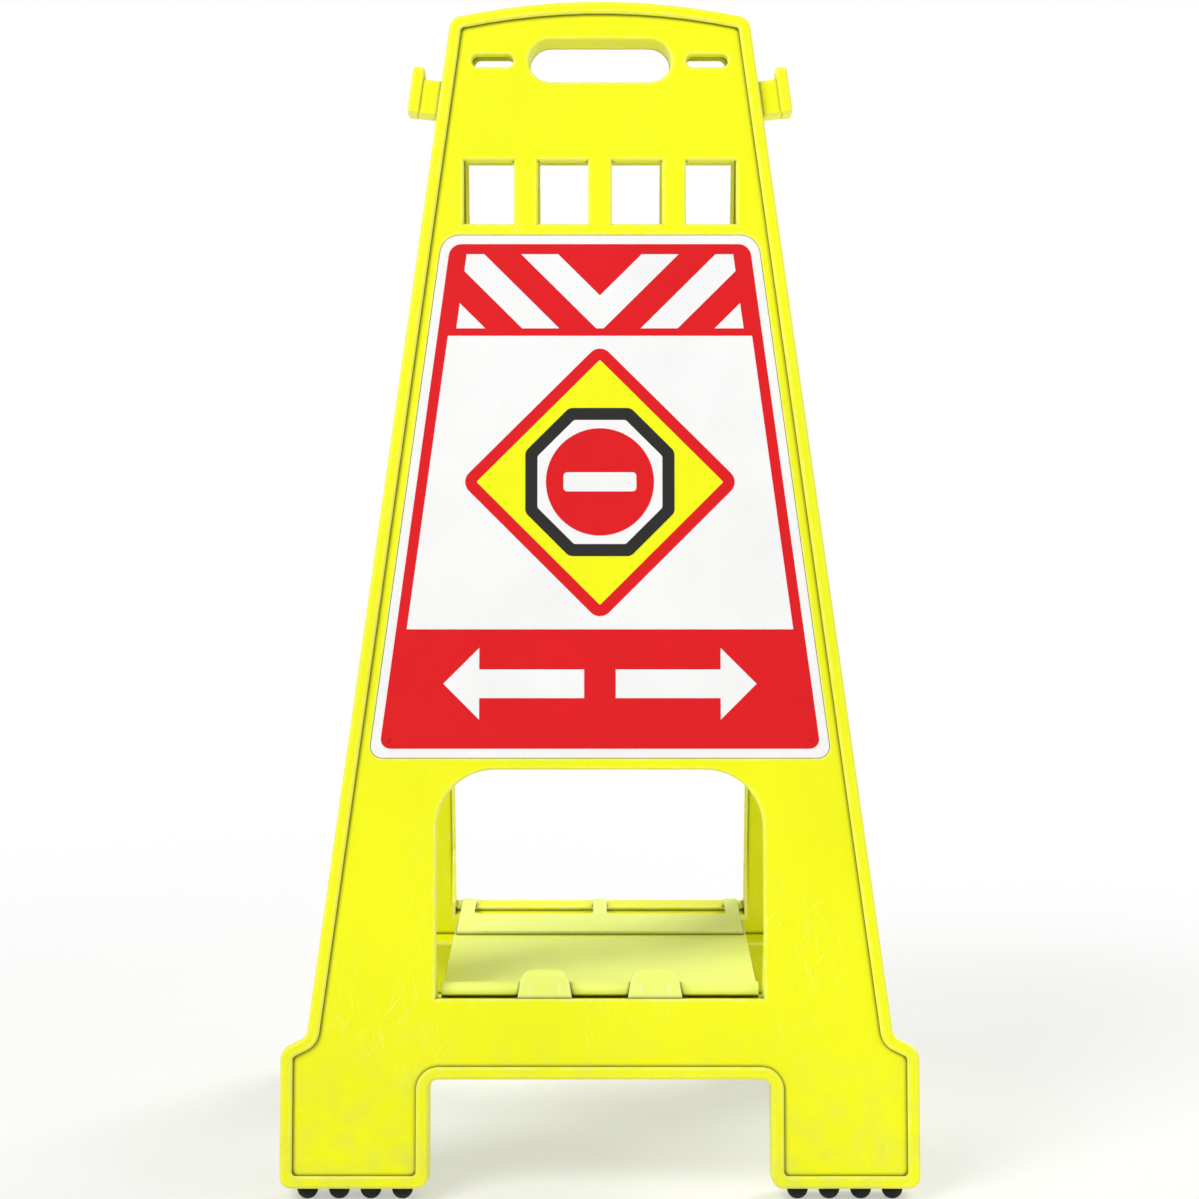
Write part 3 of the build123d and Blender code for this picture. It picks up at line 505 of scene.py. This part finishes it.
def remap(material, value, span, to=NONE_TO_ALL):
    """Value moved from one stretch to another and held inside it."""
    inputs = {"Value": value, "From Min": span[0], "From Max": span[1], "To Min": to[0], "To Max": to[1]}
    return node(material, "ShaderNodeMapRange", inputs).outputs["Result"]


def roughness(material, value, middle, spread):
    """Roughness that follows a noise value to both sides of its middle."""
    return remap(material, value, WHOLE, (middle - spread, middle + spread))


def calculate(material, operation, first, second):
    """Result of an operation on two values."""
    made = node(material, "ShaderNodeMath", operation=operation)
    connect(material, first, made.inputs[0])
    connect(material, second, made.inputs[1])
    return made.outputs["Value"]


def times(material, first, second):
    """Product of two values."""
    return calculate(material, "MULTIPLY", first, second)


def opaque(colour):
    """Colour with an alpha of 1."""
    return (*colour, 1.0)


def shade(colour, tone):
    """Opaque colour, made darker or lighter."""
    return opaque(min(channel * tone, 1.0) for channel in colour)


def blend_colour(material, factor, first, second):
    """Mix of two colours by a factor."""
    made = node(material, "ShaderNodeMix", data_type="RGBA")
    for name, value in (("Factor_Float", factor), ("A_Color", first), ("B_Color", second)):
        socket = next(item for item in made.inputs if item.identifier == name)
        connect(material, value, socket)
    return next(item for item in made.outputs if item.identifier == "Result_Color")


def cloudy(material, factor, colour, tones):
    """Colour that drifts between two tones of its own."""
    return blend_colour(material, factor, shade(colour, tones[0]), shade(colour, tones[1]))


def relief(material, edge, layers):
    """Normal of a surface with rounded edges and layers of a height value and its depth in metres."""
    normal = node(material, "ShaderNodeBevel", {"Radius": edge}, samples=EDGE_RAYS).outputs["Normal"]
    for height, depth in layers:
        inputs = {"Height": height, "Strength": 1.0, "Distance": depth, "Normal": normal}
        normal = node(material, "ShaderNodeBump", inputs).outputs["Normal"]
    return normal


def inner_corner_shade(material, distance):
    """Mask of painted shade: 1 deep in corners and under edges, and 0 on open faces."""
    made = node(material, "ShaderNodeAmbientOcclusion", {"Distance": distance}, samples=CORNER_RAYS)
    return remap(material, made.outputs["AO"], CORNER_SPACE, ALL_TO_NONE)


def outer_edges(material, distance):
    """Mask of the pale edges, partly wear and partly painted highlight: 1 along outer edges, measured
    through the solid, and 0 on open faces.
    """
    made = node(material, "ShaderNodeAmbientOcclusion", {"Distance": distance},
                samples=CORNER_RAYS, inside=True, only_local=True)
    return remap(material, made.outputs["AO"], EDGE_SPACE, ALL_TO_NONE)


def upright(material, place):
    """Place turned so that the faces of both leaning panels stand upright."""
    parts = split(material, place)
    depth = node(material, "ShaderNodeMath", {"Value": parts["Y"]}, operation="ABSOLUTE").outputs["Value"]
    folded = node(material, "ShaderNodeCombineXYZ", {"X": parts["X"], "Y": depth, "Z": parts["Z"]})
    return turned(material, folded.outputs["Vector"], (-LEAN, 0.0, 0.0))


def scuffs(material, place, finish):
    """Thin slanted scratches in scattered patches."""
    patch = remap(material, noise(material, place, finish.scuff_patch, detail=3.0), PATCHES)
    face = upright(material, place)
    marks = []
    for turn in SCUFF_TURNS:
        lines = noise(material, face, finish.scuff_width, finish.scuff_length, turn, detail=3.0)
        marks.append(remap(material, lines, SCRATCHES))
    return times(material, calculate(material, "MAXIMUM", *marks), patch)


def low_dust(material, place, finish, patches):
    """Patchy dust that thins out from the floor up."""
    height = split(material, place)["Z"]
    low = remap(material, height, (0.0, finish.dust_height), (finish.dust, 0.0))
    return times(material, low, patches)


def moulded_plastic(name, colour, rough):
    """Bright moulded plastic with fine grain, flow marks, pale scuffs, dust near the floor, pale edges that
    are partly wear and partly painted highlight, and painted shade in inner corners.
    """
    finish = bpy.context.scene.plastic_finish
    material, surface = new_material(name)
    place = place_of(material)
    grain = noise(material, place, finish.grain)
    ripple = noise(material, place, finish.ripple)
    flow = noise(material, place, finish.flow, FLOW_STRETCH * finish.flow, detail=3.0)
    scuffed = times(material, scuffs(material, place, finish), finish.scuff)
    chips = noise(material, place, finish.ripple, detail=4.0)
    # Pale outer edges: partly wear in chips and partly a painted highlight on every outer edge
    wear_and_highlight = remap(material, chips, CHIPS, (finish.least_wear_and_highlight, finish.wear_and_highlight))
    worn_and_highlit = times(material, outer_edges(material, finish.wear_and_highlight_reach), wear_and_highlight)
    patches = remap(material, noise(material, place, finish.dust_patch, detail=6.0), SPECKS)
    dusty = low_dust(material, place, finish, patches)
    # Painted shade: near-black plastic colour in inner corners, found by ambient occlusion
    painted_shade = times(material, inner_corner_shade(material, finish.corner_shade_reach), finish.corner_shade)

    pale = opaque(channel + (1.0 - channel) * PALE_SHARE for channel in colour)
    dust = opaque(bpy.context.scene.finish_colours.dust)
    tone = cloudy(material, remap(material, flow, MIDDLE), colour, FLOW_TONES)
    for share, over in ((scuffed, pale), (worn_and_highlit, pale), (dusty, dust), (painted_shade, shade(colour, CORNER_SHADE_TONE))):
        tone = blend_colour(material, share, tone, over)
    dull = roughness(material, ripple, rough, finish.rough_spread)
    layers = ((grain, finish.grain_depth), (ripple, finish.ripple_depth))
    set_inputs(material, surface, {
        "Base Color": tone,
        "Roughness": calculate(material, "ADD", dull, times(material, scuffed, finish.scuff_rough)),
        "Normal": relief(material, finish.edge, layers),
        "Specular IOR Level": finish.shine,
    })
    return material


def printed_film(name, colour):
    """Printed sheeting with a faint lattice of reflecting cells under its smooth face."""
    finish = bpy.context.scene.film_finish
    material, surface = new_material(name)
    place = place_of(material)
    seams = []
    for turn in (finish.cell_turn, -finish.cell_turn):
        inputs = {"Vector": turned(material, place, (0.0, turn, 0.0)), "Distortion": 0.0,
                  "Scale": 2 * math.pi / (WAVE_PHASE * finish.cell)}
        wave = node(material, "ShaderNodeTexWave", inputs, wave_type="BANDS", bands_direction="X")
        seams.append(remap(material, wave.outputs["Fac"], CREST))
    lattice = times(material, calculate(material, "MAXIMUM", *seams), finish.seam)
    cloud = remap(material, noise(material, place, finish.cloud, detail=3.0), MIDDLE)
    wipe = noise(material, place, finish.wipe_length, finish.wipe_height, detail=4.0)
    ripple = noise(material, place, finish.ripple, detail=1.0)

    tone = cloudy(material, cloud, colour, FILM_TONES)
    set_inputs(material, surface, {
        "Base Color": blend_colour(material, lattice, tone, shade(colour, SEAM_TONE)),
        "Roughness": roughness(material, wipe, finish.rough, finish.rough_spread),
        "Normal": relief(material, finish.edge, ((ripple, finish.ripple_depth),)),
        "Specular IOR Level": finish.shine,
    })
    return material


def black_rubber(name, colour):
    """Matt rubber with a pebbled skin and pale dust on the tips that meet the floor."""
    finish = bpy.context.scene.rubber_finish
    material, surface = new_material(name)
    place = place_of(material)
    pebble = noise(material, place, finish.pebble)
    blotch = remap(material, noise(material, place, finish.blotch), WHOLE)
    patches = noise(material, place, finish.dust_patch, detail=3.0)
    patches = remap(material, patches, MIDDLE, (finish.least_dust, 1.0))
    dusty = low_dust(material, place, finish, patches)

    dust = opaque(bpy.context.scene.finish_colours.rubber_dust)
    tone = cloudy(material, blotch, colour, RUBBER_TONES)
    set_inputs(material, surface, {
        "Base Color": blend_colour(material, dusty, tone, dust),
        "Roughness": roughness(material, pebble, finish.rough, finish.rough_spread),
        "Normal": relief(material, finish.edge, ((pebble, finish.pebble_depth),)),
        "Specular IOR Level": finish.shine,
    })
    return material


def zinc_steel(name, colour):
    """Bright plated steel with fine turning marks."""
    finish = bpy.context.scene.steel_finish
    material, surface = new_material(name)
    place = place_of(material)
    marks = noise(material, place, finish.mark_width, finish.mark_height, detail=3.0)
    stain = remap(material, noise(material, place, finish.stain, detail=3.0), STAINS)
    set_inputs(material, surface, {
        "Base Color": cloudy(material, stain, colour, STEEL_TONES),
        "Roughness": roughness(material, marks, finish.rough, finish.rough_spread),
        "Normal": relief(material, finish.edge, ((marks, finish.mark_depth),)),
        "Metallic": 1.0,
    })
    return material


def film_material(name):
    """Printed film of a named colour, made once."""
    colours = bpy.context.scene.finish_colours
    values = {"red": colours.red, "white": colours.white, "yellow": colours.panel, "black": colours.black}
    found = bpy.data.materials.get(name + "_film")
    return found or printed_film(name + "_film", tuple(values[name]))


def finish_node(name, material):
    """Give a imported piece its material."""
    slots = frame["nodes"][name].data.materials
    slots.clear()
    slots.append(material)


def seen_ray(tree):
    """1 for rays from the camera, a mirror or glass, and 0 for rays that only carry light."""
    path = tree.nodes.new("ShaderNodeLightPath")
    value = path.outputs["Is Camera Ray"]
    for name in ("Is Glossy Ray", "Is Transmission Ray"):
        either = tree.nodes.new("ShaderNodeMath")
        either.operation = "MAXIMUM"
        tree.links.new(value, either.inputs[0])
        tree.links.new(path.outputs[name], either.inputs[1])
        value = either.outputs["Value"]
    return value


# Modelling of the printed films, flat in the sheet's own plane: x across, y up from its lower edge


def half_width(height, inset):
    """Half width of the sign at a height, drawn in from its tapered sides."""
    taper = bpy.context.scene.sign_sizes.side_taper
    across = Vector((math.cos(taper), 0, 0)) + FRONT_UP * math.sin(taper)
    side = reach("front_sign_sheet", across)[1] - SHEET_LOW * math.sin(taper)
    return (side - inset - height * math.sin(taper)) / math.cos(taper)


def select_all():
    """Select the whole of the piece that is open for editing."""
    bpy.ops.mesh.select_all(action="SELECT")


def start_piece(name, add, **settings):
    """Add a primitive at the origin and open it for editing, all selected."""
    bpy.ops.object.select_all(action="DESELECT")
    add(**settings)
    piece = bpy.context.object
    piece.name = name
    bpy.ops.object.mode_set(mode="EDIT")
    bpy.ops.mesh.select_mode(type="VERT")
    select_all()
    return piece


def pick(test):
    """Select the vertices that pass a test of their place."""
    mesh = bmesh.from_edit_mesh(bpy.context.object.data)
    for vertex in mesh.verts:
        vertex.select_set(test(vertex.co))
    mesh.select_flush(True)
    mesh.select_flush(False)
    bmesh.update_edit_mesh(bpy.context.object.data)


def resize(x, y, centre=(0, 0, 0)):
    """Scale what is selected about a point."""
    bpy.ops.transform.resize(value=(x, y, 1), center_override=centre)


def move(x, y):
    """Slide what is selected in the sheet's plane."""
    bpy.ops.transform.translate(value=(x, y, 0))


def round_corners(radius, steps=CORNER_STEPS):
    """Round the selected corners of a flat shape."""
    bpy.ops.mesh.bevel(offset=radius, segments=steps, affect="VERTICES", clamp_overlap=True)


def merge_points():
    """Make one of points that lie on each other."""
    select_all()
    bpy.ops.mesh.remove_doubles(threshold=MERGE)


def cut(point, outside):
    """Cut a flat shape along a line and drop what lies outside it."""
    select_all()
    bpy.ops.mesh.bisect(plane_co=point, plane_no=outside, clear_outer=True)


def trim(low, high, inset):
    """Cut a flat shape along a band's lower and upper edge and its tapered ends."""
    taper = bpy.context.scene.sign_sizes.side_taper
    end = half_width(0, inset)
    cut((0, low, 0), (0, -1, 0))
    cut((0, high, 0), (0, 1, 0))
    for side in (-1, 1):
        cut((side * end, 0, 0), (side * math.cos(taper), math.sin(taper), 0))


def hollow(width):
    """Turn the one face of a flat shape into a band along its edge."""
    bpy.ops.mesh.select_mode(type="FACE")
    select_all()
    bpy.ops.mesh.inset(thickness=width, use_even_offset=True)
    bpy.ops.mesh.delete(type="FACE")
    bpy.ops.mesh.select_mode(type="VERT")


def end_piece():
    """Leave edit mode with every face turned outwards."""
    merge_points()
    bpy.ops.mesh.normals_make_consistent(inside=False)
    bpy.ops.object.mode_set(mode="OBJECT")


def add_other_half(piece):
    """Mirror a piece across the middle of the sheet."""
    mirror = piece.modifiers.new("Both halves", "MIRROR")
    mirror.use_axis = (True, False, False)
    bpy.ops.object.modifier_apply(modifier=mirror.name)


def tapered_plate(name, low, high, inset):
    """Flat plate between two heights, with its ends along the tapered sides of the sheet."""
    bottom = half_width(low, inset)
    piece = start_piece(name, bpy.ops.mesh.primitive_plane_add, size=1)
    resize(2 * bottom, high - low)
    pick(lambda place: place.y > 0)
    resize(half_width(high, inset) / bottom, 1)
    select_all()
    move(0, (low + high) / 2)
    return piece


def lay_film(piece, name, layer, colour):
    """Thicken a flat shape into a film and lay one on each sign sheet, in a layer counted from the sheet."""
    thickness = bpy.context.scene.sign_sizes.film
    thick = piece.modifiers.new("Film", "SOLIDIFY")
    thick.thickness = thickness
    thick.offset = 1
    bpy.ops.object.modifier_apply(modifier=thick.name)
    piece.data.materials.append(film_material(colour))
    lift = Matrix.Translation((0, 0, thickness * (layer - 1)))
    turns = {"front": Matrix.Identity(4), "rear": Matrix.Rotation(math.pi, 4, "Z")}
    bpy.ops.object.duplicate(linked=False)
    films = {"front": piece, "rear": bpy.context.object}
    for end, film in films.items():
        bpy.ops.object.select_all(action="DESELECT")
        film.select_set(True)
        bpy.context.view_layer.objects.active = film
        film.name = f"{end}_sign_{name}"
        film.data.name = film.name
        film.matrix_world = turns[end] @ SHEET_PLACE @ lift
        bpy.ops.object.transform_apply(location=True, rotation=True, scale=True)
        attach(film, BODIES[end])


class STAND_OT_panels(bpy.types.Operator):
    """Finish both moulded panels and the hooks that are screwed to the front one"""

    bl_idname = "stand.panels"
    bl_label = "Panels and hooks"

    def execute(self, context):
        colour = tuple(context.scene.finish_colours.panel)
        yellow = moulded_plastic("panel_plastic", colour, context.scene.plastic_finish.panel_rough)
        for end in BODIES:
            finish_node(end + "_panel", yellow)
        for side in SIDES:
            finish_node("chain_hook_" + side, yellow)
        return {"FINISHED"}


class STAND_OT_tray(bpy.types.Operator):
    """Finish the tray and the saddles that it turns in"""

    bl_idname = "stand.tray"
    bl_label = "Tray and saddles"

    def execute(self, context):
        colour = tuple(context.scene.finish_colours.tray)
        pale = moulded_plastic("tray_plastic", colour, context.scene.plastic_finish.tray_rough)
        finish_node("spreader_tray", pale)
        for side in SIDES:
            finish_node("tray_saddle_" + side, pale)
        return {"FINISHED"}


class STAND_OT_feet(bpy.types.Operator):
    """Finish the rubber foot pads"""

    bl_idname = "stand.feet"
    bl_label = "Foot pads"

    def execute(self, context):
        rubber = black_rubber("foot_rubber", tuple(context.scene.finish_colours.rubber))
        for end in BODIES:
            for side in SIDES:
                finish_node(f"foot_pad_{end}_{side}", rubber)
        return {"FINISHED"}


class STAND_OT_steel(bpy.types.Operator):
    """Finish the pins, clips, screws and washers"""

    bl_idname = "stand.steel"
    bl_label = "Steel pieces"

    def execute(self, context):
        steel = zinc_steel("zinc_plate", tuple(context.scene.finish_colours.steel))
        names = ["saddle_screws", "hook_screws", "hook_washers"]
        names += [kind + side for kind in ("hinge_pin_", "hinge_clip_") for side in SIDES]
        for name in names:
            finish_node(name, steel)
        return {"FINISHED"}


class STAND_OT_sheets(bpy.types.Operator):
    """Finish the sign sheets and lay the border on them"""

    bl_idname = "stand.sheets"
    bl_label = "Sign sheets and border"

    def execute(self, context):
        sizes = context.scene.sign_sizes
        for end in BODIES:
            finish_node(end + "_sign_sheet", film_material("white"))
        border = tapered_plate("border", sizes.edge, SHEET_HEIGHT - sizes.edge, sizes.edge)
        round_corners(sizes.border_corner)
        hollow(sizes.border)
        end_piece()
        lay_film(border, "border", 1, "red")
        return {"FINISHED"}


class STAND_OT_stripes(bpy.types.Operator):
    """Lay the band of slanted stripes at the top of the signs"""

    bl_idname = "stand.stripes"
    bl_label = "Striped band"

    def execute(self, context):
        sizes = context.scene.sign_sizes
        inset = sizes.edge + sizes.border
        high = SHEET_HEIGHT - inset
        low = high - sizes.stripe_band
        band = tapered_plate("band", low, high, inset)
        end_piece()
        lay_film(band, "stripe_band", 1, "red")

        low += sizes.stripe_margin
        inset += sizes.stripe_margin
        stripes = start_piece("stripes", bpy.ops.mesh.primitive_plane_add, size=1)
        resize(sizes.stripe, sizes.stripe_band)
        pick(lambda place: place.y > 0)
        move(sizes.stripe_band, 0)
        select_all()
        move(-sizes.stripe / 2, (low + high) / 2)
        step = 2 * sizes.stripe
        copies = math.ceil(half_width(low, inset) / step) + 1
        for _ in range(copies):
            bpy.ops.mesh.duplicate()
            move(step, 0)
        trim(low, high, inset)
        cut((0, 0, 0), (-1, 0, 0))
        end_piece()
        add_other_half(stripes)
        lay_film(stripes, "stripes", 2, "white")
        return {"FINISHED"}


class STAND_OT_arrows(bpy.types.Operator):
    """Lay the band with two arrows at the bottom of the signs"""

    bl_idname = "stand.arrows"
    bl_label = "Arrow band"

    def execute(self, context):
        sizes = context.scene.sign_sizes
        low = sizes.edge + sizes.border
        high = low + sizes.arrow_band
        band = tapered_plate("band", low, high, low)
        end_piece()
        lay_film(band, "arrow_band", 1, "red")

        head = sizes.arrow_head / 2
        shaft = sizes.arrow_length - head
        shaft_middle = (sizes.arrow_gap + shaft) / 2
        middle = (low + high) / 2
        arrows = start_piece("arrows", bpy.ops.mesh.primitive_plane_add, size=1)
        resize(shaft, sizes.arrow_shaft)
        move(shaft_middle, middle)
        pick(lambda place: place.x > shaft_middle)
        bpy.ops.mesh.extrude_edges_move()
        resize(1, sizes.arrow_head / sizes.arrow_shaft, (0, middle, 0))
        bpy.ops.mesh.extrude_edges_move()
        move(head, 0)
        resize(1, 0, (0, middle, 0))
        merge_points()
        bpy.ops.mesh.dissolve_limited(angle_limit=STRAIGHT)
        end_piece()
        add_other_half(arrows)
        lay_film(arrows, "arrows", 2, "white")
        return {"FINISHED"}


class STAND_OT_emblem(bpy.types.Operator):
    """Lay the diamond, octagon, disc and bar in the middle of the signs"""

    bl_idname = "stand.emblem"
    bl_label = "Emblem"

    def lay_shape(self, name, layer, colour, corners, radius, rounding=0.0, band=0.0, turn=0.0):
        """One film of the emblem: a rounded shape with so many corners, or only a band along its edge."""
        piece = start_piece(name, bpy.ops.mesh.primitive_circle_add, vertices=corners, radius=radius,
                            fill_type="NGON")
        if turn:
            bpy.ops.transform.rotate(value=turn, orient_axis="Z", center_override=(0, 0, 0))
        if rounding:
            round_corners(rounding)
        if band:
            hollow(band)
        self.lay_centred(piece, name, layer, colour)

    def lay_centred(self, piece, name, layer, colour):
        """Lay a shape in the middle of the space between the two bands."""
        sizes = bpy.context.scene.sign_sizes
        low = sizes.edge + sizes.border + sizes.arrow_band
        high = SHEET_HEIGHT - sizes.edge - sizes.border - sizes.stripe_band
        select_all()
        move(0, (low + high) / 2)
        end_piece()
        lay_film(piece, name, layer, colour)

    def execute(self, context):
        sizes = context.scene.sign_sizes
        inner = sizes.diamond - sizes.diamond_edge * math.sqrt(2)
        self.lay_shape("diamond_edge", 1, "red", corners=4, radius=sizes.diamond,
                       rounding=sizes.diamond_corner, band=sizes.diamond_edge)
        self.lay_shape("diamond", 1, "yellow", corners=4, radius=inner,
                       rounding=sizes.diamond_inner_corner)

        half_side = math.pi / 8
        inner = sizes.octagon - sizes.octagon_edge / math.cos(half_side)
        self.lay_shape("octagon_back", 2, "black", corners=8, radius=sizes.octagon,
                       rounding=sizes.octagon_corner, turn=half_side)
        self.lay_shape("octagon", 3, "white", corners=8, radius=inner,
                       rounding=sizes.octagon_inner_corner, turn=half_side)
        self.lay_shape("disc", 4, "red", corners=DISC_CORNERS, radius=sizes.disc)

        bar = start_piece("bar", bpy.ops.mesh.primitive_plane_add, size=1)
        resize(sizes.bar_length, sizes.bar_height)
        round_corners(sizes.bar_corner, BAR_CORNER_STEPS)
        self.lay_centred(bar, "bar", 5, "white")
        return {"FINISHED"}


class STAND_OT_stage(bpy.types.Operator):
    """Set the pale floor, the soft light and the camera"""

    bl_idname = "stand.stage"
    bl_label = "Stage"

    def add_floor(self, sizes):
        """Large pale floor under the feet, which fades to plain white away from the stand."""
        bpy.ops.object.select_all(action="DESELECT")
        bpy.ops.mesh.primitive_plane_add(size=sizes.floor)
        floor = bpy.context.object
        floor.name = "studio_floor"
        material, surface = new_material("studio_floor")
        set_inputs(material, surface, {
            "Base Color": opaque([sizes.floor_tone] * 3),
            "Roughness": sizes.floor_rough,
            "Specular IOR Level": sizes.floor_shine,
        })
        away = node(material, "ShaderNodeVectorMath", {"Vector": place_of(material)}, operation="LENGTH")
        fade = node(material, "ShaderNodeMapRange", {
            "Value": away.outputs["Value"],
            "From Min": sizes.backdrop_start,
            "From Max": sizes.backdrop_end,
            "To Min": sizes.floor_glow,
        }, interpolation_type="SMOOTHSTEP")
        white = node(material, "ShaderNodeEmission", {"Color": WHITE, "Strength": 1.0})
        mix = node(material, "ShaderNodeMixShader")
        seen = times(material, fade.outputs["Result"], seen_ray(material.node_tree))
        for index, value in enumerate((seen, surface.outputs["BSDF"], white.outputs["Emission"])):
            connect(material, value, mix.inputs[index])
        output = next(item for item in material.node_tree.nodes if item.type == "OUTPUT_MATERIAL")
        connect(material, mix.outputs["Shader"], output.inputs["Surface"])
        floor.data.materials.append(material)

    def add_world(self, scene, sky):
        """Even light on the stand, and plain white where the camera looks past it."""
        world = bpy.data.worlds.new("studio_world")
        world.use_nodes = True
        nodes = world.node_tree.nodes
        light = nodes["Background"]
        white = nodes.new("ShaderNodeBackground")
        for background, strength in ((light, sky), (white, 1.0)):
            background.inputs["Color"].default_value = WHITE
            background.inputs["Strength"].default_value = strength
        mix = nodes.new("ShaderNodeMixShader")
        sources = (seen_ray(world.node_tree), light.outputs["Background"], white.outputs["Background"])
        for index, value in enumerate(sources):
            world.node_tree.links.new(value, mix.inputs[index])
        world.node_tree.links.new(mix.outputs["Shader"], nodes["World Output"].inputs["Surface"])
        scene.world = world

    def add_lamp(self, name, place, width, power):
        """Square soft lamp that looks at the middle of the stand."""
        middle = (CAD_BOX[0] + CAD_BOX[1]) / 2
        bpy.ops.object.light_add(type="AREA", location=place)
        lamp = bpy.context.object
        lamp.name = name
        lamp.data.shape = "SQUARE"
        lamp.data.size = width
        lamp.data.energy = power
        lamp.rotation_euler = (middle - Vector(place)).to_track_quat("-Z", "Y").to_euler()

    def add_camera(self, scene, sizes):
        """Camera in front of the stand and a little above the middle of the front panel."""
        aim = FRONT_OUT * PANEL_OUT + FRONT_UP * (PANEL_LOW + sizes.aim_height)
        aim.x += sizes.aim_side
        back = Vector((0, -math.cos(sizes.camera_rise), math.sin(sizes.camera_rise)))
        bpy.ops.object.camera_add()
        camera = bpy.context.object
        camera.name = "studio_camera"
        camera.data.sensor_width = SENSOR_WIDTH
        camera.data.lens = SENSOR_WIDTH * sizes.camera_distance / sizes.frame_width
        camera.location = aim + back * sizes.camera_distance
        camera.rotation_euler = (-back).to_track_quat("-Z", "Y").to_euler()
        scene.camera = camera

    def execute(self, context):
        scene = context.scene
        sizes = scene.stage_sizes
        self.add_floor(sizes)
        for name, (place, width) in LAMPS.items():
            self.add_lamp(name + "_lamp", place, width, getattr(sizes, name))
        self.add_world(scene, sizes.sky)
        self.add_camera(scene, sizes)
        scene.view_settings.view_transform = "Standard"
        return {"FINISHED"}


class STAND_PT_panel(bpy.types.Panel):
    """Steps that finish the sign stand, in order, and their settings"""

    bl_idname = "STAND_PT_panel"
    bl_label = "Sign Stand"
    bl_space_type = "VIEW_3D"
    bl_region_type = "UI"
    bl_category = "Sign Stand"

    def draw(self, context):
        for step in STEPS:
            self.layout.operator(step.bl_idname)
        for group in (getattr(context.scene, name) for name in GROUPS):
            box = self.layout.box()
            for name in group.__annotations__:
                box.prop(group, name)


STEPS = (
    STAND_OT_stage, STAND_OT_panels, STAND_OT_tray, STAND_OT_feet, STAND_OT_steel,
    STAND_OT_sheets, STAND_OT_stripes, STAND_OT_arrows, STAND_OT_emblem,
)
GROUPS = {
    "sign_sizes": SignSizes,
    "finish_colours": FinishColours,
    "plastic_finish": PlasticFinish,
    "film_finish": FilmFinish,
    "rubber_finish": RubberFinish,
    "steel_finish": SteelFinish,
    "stage_sizes": StageSizes,
}


def register():
    """Register the classes and give every scene its settings."""
    for item in (*GROUPS.values(), *STEPS, STAND_PT_panel):
        bpy.utils.register_class(item)
    for name, group in GROUPS.items():
        setattr(bpy.types.Scene, name, PointerProperty(type=group))


def unregister():
    """Take the settings and the classes away again."""
    for name in GROUPS:
        delattr(bpy.types.Scene, name)
    for item in (STAND_PT_panel, *reversed(STEPS), *GROUPS.values()):
        bpy.utils.unregister_class(item)


def main():
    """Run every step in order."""
    register()
    for step in STEPS:
        group, name = step.bl_idname.split(".")
        getattr(getattr(bpy.ops, group), name)()


if __name__ == "__main__":
    main()
